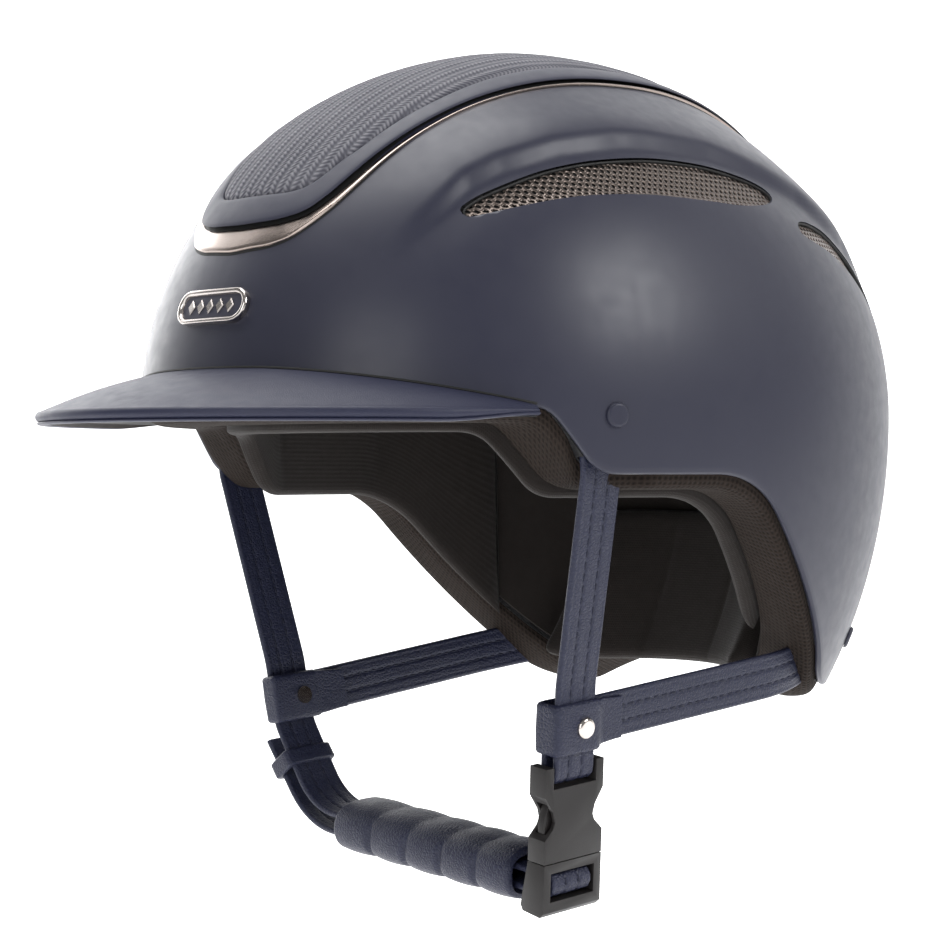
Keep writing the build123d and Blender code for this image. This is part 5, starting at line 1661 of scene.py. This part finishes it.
# ---------------------------------------------------------------- moulded parts
@dataclass
class Moulded:
    """Buckle and small CAD parts: the CAD shape with its edges rounded, or only dressed."""

    softened: tuple = (
        ("buckle_female", "buckle_socket", "helmet", 0.55),
        ("buckle_male", "buckle_plug", "chin_strap", 0.45),
        ("buckle_arm_front", "buckle_prong_front", "buckle_arm_front", 0.35),
        ("buckle_arm_rear", "buckle_prong_rear", "buckle_arm_rear", 0.35),
    )
    dressed: tuple = (
        ("impact_liner", "liner_foam"),
        ("liner_patches", "hook_loop"),
        ("rivet_washers", "rivet_metal"),
        ("junction_rivets", "rivet_metal"),
        ("temple_rivet_left", "rivet_painted"),
        ("temple_rivet_right", "rivet_painted"),
        ("nape_rivet_left", "rivet_painted"),
        ("nape_rivet_right", "rivet_painted"),
    )

    def build(self) -> None:
        """Rounds the buckle's parts and dresses the carried-over nodes."""
        for node, name, body, width in self.softened:
            self.soften(node, name, body, width)
        for node, finish in self.dressed:
            obj = frame["nodes"][node]
            obj.data.materials.clear()
            obj.data.materials.append(STYLE.get(finish))

    @staticmethod
    def soften(node: str, name: str, body: str, width: float) -> bpy.types.Object:
        """Copy of a CAD node with merged faces and every crisp edge bevelled."""
        mesh = frame["nodes"][node].data.copy()
        mesh.name = name
        work = bmesh.new()
        work.from_mesh(mesh)
        bmesh.ops.remove_doubles(work, verts=work.verts, dist=0.01 * MM)
        bmesh.ops.dissolve_limit(work, angle_limit=math.radians(2), verts=work.verts, edges=work.edges)
        work.to_mesh(mesh)
        work.free()
        mesh.materials.clear()
        mesh.materials.append(STYLE.get("buckle_plastic"))
        obj = bpy.data.objects.new(name, mesh)
        bpy.context.scene.collection.objects.link(obj)
        bevel = obj.modifiers.new("Edges", "BEVEL")
        bevel.width = width * MM
        bevel.segments = 3
        bevel.limit_method = "ANGLE"
        bevel.angle_limit = math.radians(32)
        bevel.use_clamp_overlap = True
        apply_modifiers(obj)
        obj.data.polygons.foreach_set("use_smooth", np.ones(len(obj.data.polygons), bool))
        obj.data.set_sharp_from_angle(angle=math.radians(35))
        return settle(obj, body, "buckle_plastic", node)


# ---------------------------------------------------------------- studio
@dataclass
class Studio:
    """Pale floor curving up to a backdrop, soft lights and the camera."""

    distance: float = 0.850
    azimuth: float = 48.0
    lens: float = 96.63
    sensor: float = 36.0
    floor_drop: float = 0.20

    def build(self) -> None:
        """Makes the stage, the world, the lights and the camera."""
        bpy.context.scene.view_settings.view_transform = "Standard"
        self.build_floor()
        self.build_world()
        self.light("key_left", (-1.45, 0.15, 0.45), 0.9, 8.0)
        self.light("top_soft", (-0.35, -0.10, 1.5), 1.2, 26.0)
        self.light("right_side", (1.25, 0.54, 0.78), 0.6, 14.0)
        self.light("fill_front", (0.7, -1.5, 0.45), 1.0, 10.0)
        self.build_camera()

    def build_floor(self) -> None:
        """Floor profile: flat towards the camera, a quarter circle behind and an upright wall."""
        lowest = CAD_BOX[0][2] / MM - self.floor_drop / MM
        bend = np.linspace(0, math.pi / 2, 24)
        radius = 1200.0
        back = np.concatenate([[-4000.0], 1500 + radius * np.sin(bend), [1500 + radius]])
        rise = np.concatenate([[0.0], radius * (1 - np.cos(bend)), [5000.0]])
        across = np.array([-6000.0, 6000.0])
        turn = math.radians(self.azimuth)
        away = np.array([-math.sin(turn), math.cos(turn), 0.0])
        right = np.array([math.cos(turn), math.sin(turn), 0.0])
        points = back[:, None, None] * away + across[None, :, None] * right
        points[..., 2] += (lowest + rise)[:, None]
        floor = Skin().grid(points).piece("studio_floor", [self.paper()], recalc=False)

    @staticmethod
    def paper() -> bpy.types.Material:
        """Pale backdrop paper that glows, dim towards the camera and full far behind the helmet: painted light, which
        also lights the helmet's rims.
        """
        material = bpy.data.materials.new("backdrop_paper")
        material.use_nodes = True
        shader = material.node_tree.nodes["Principled BSDF"]
        shader.inputs["Base Color"].default_value = (0.93, 0.93, 0.935, 1)
        shader.inputs["Roughness"].default_value = 0.9
        shader.inputs["Emission Color"].default_value = (1, 1, 1, 1)
        tree = material.node_tree
        coordinates = tree.nodes.new("ShaderNodeTexCoord")
        away = tree.nodes.new("ShaderNodeVectorMath")
        away.operation = "DOT_PRODUCT"
        away.inputs[1].default_value = (-math.sin(math.radians(48)), math.cos(math.radians(48)), 0.0)
        tree.links.new(coordinates.outputs["Object"], away.inputs[0])
        # The glow grows with distance behind the helmet: painted light from a surface that is no lamp.
        glow = tree.nodes.new("ShaderNodeMapRange")
        for name, value in (("From Min", -0.1), ("From Max", 1.0), ("To Min", 0.45), ("To Max", 1.0)):
            glow.inputs[name].default_value = value
        tree.links.new(away.outputs["Value"], glow.inputs["Value"])
        tree.links.new(glow.outputs["Result"], shader.inputs["Emission Strength"])
        return material

    @staticmethod
    def build_world() -> None:
        """Even white surroundings."""
        world = bpy.data.worlds.new("studio")
        world.use_nodes = True
        world.node_tree.nodes["Background"].inputs["Color"].default_value = (1, 1, 1, 1)
        world.node_tree.nodes["Background"].inputs["Strength"].default_value = 0.28
        bpy.context.scene.world = world

    @staticmethod
    def light(name: str, place: tuple, size: float, power: float) -> None:
        """Square soft light aimed at the helmet."""
        data = bpy.data.lights.new(name, "AREA")
        data.shape = "SQUARE"
        data.size = size
        data.energy = power
        obj = bpy.data.objects.new(name, data)
        obj.location = place
        obj.rotation_euler = (Vector((0, 0, 0.02)) - Vector(place)).to_track_quat("-Z", "Y").to_euler()
        bpy.context.scene.collection.objects.link(obj)

    def build_camera(self) -> None:
        """Camera level with the origin, turned to the front left quarter."""
        turn = math.radians(self.azimuth)
        place = Vector((math.sin(turn), -math.cos(turn), 0)) * self.distance
        data = bpy.data.cameras.new("camera")
        data.lens = self.lens
        data.sensor_width = self.sensor
        data.clip_end = 50
        camera = bpy.data.objects.new("camera", data)
        camera.location = place
        camera.rotation_euler = (-place).to_track_quat("-Z", "Y").to_euler()
        bpy.context.scene.collection.objects.link(camera)
        bpy.context.scene.camera = camera


def main() -> None:
    """Builds the helmet's pieces in order."""
    logging.basicConfig(level=logging.INFO, format="%(message)s")
    Studio().build()
    shell = Shell()
    shell.build()
    for vent in VENTS:
        vent.build(shell)
    CrownPanel().build()
    Badge().build()
    Peak().build()
    Lining().build()
    Harness().build()
    Moulded().build()
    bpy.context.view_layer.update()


if __name__ == "__main__":
    main()
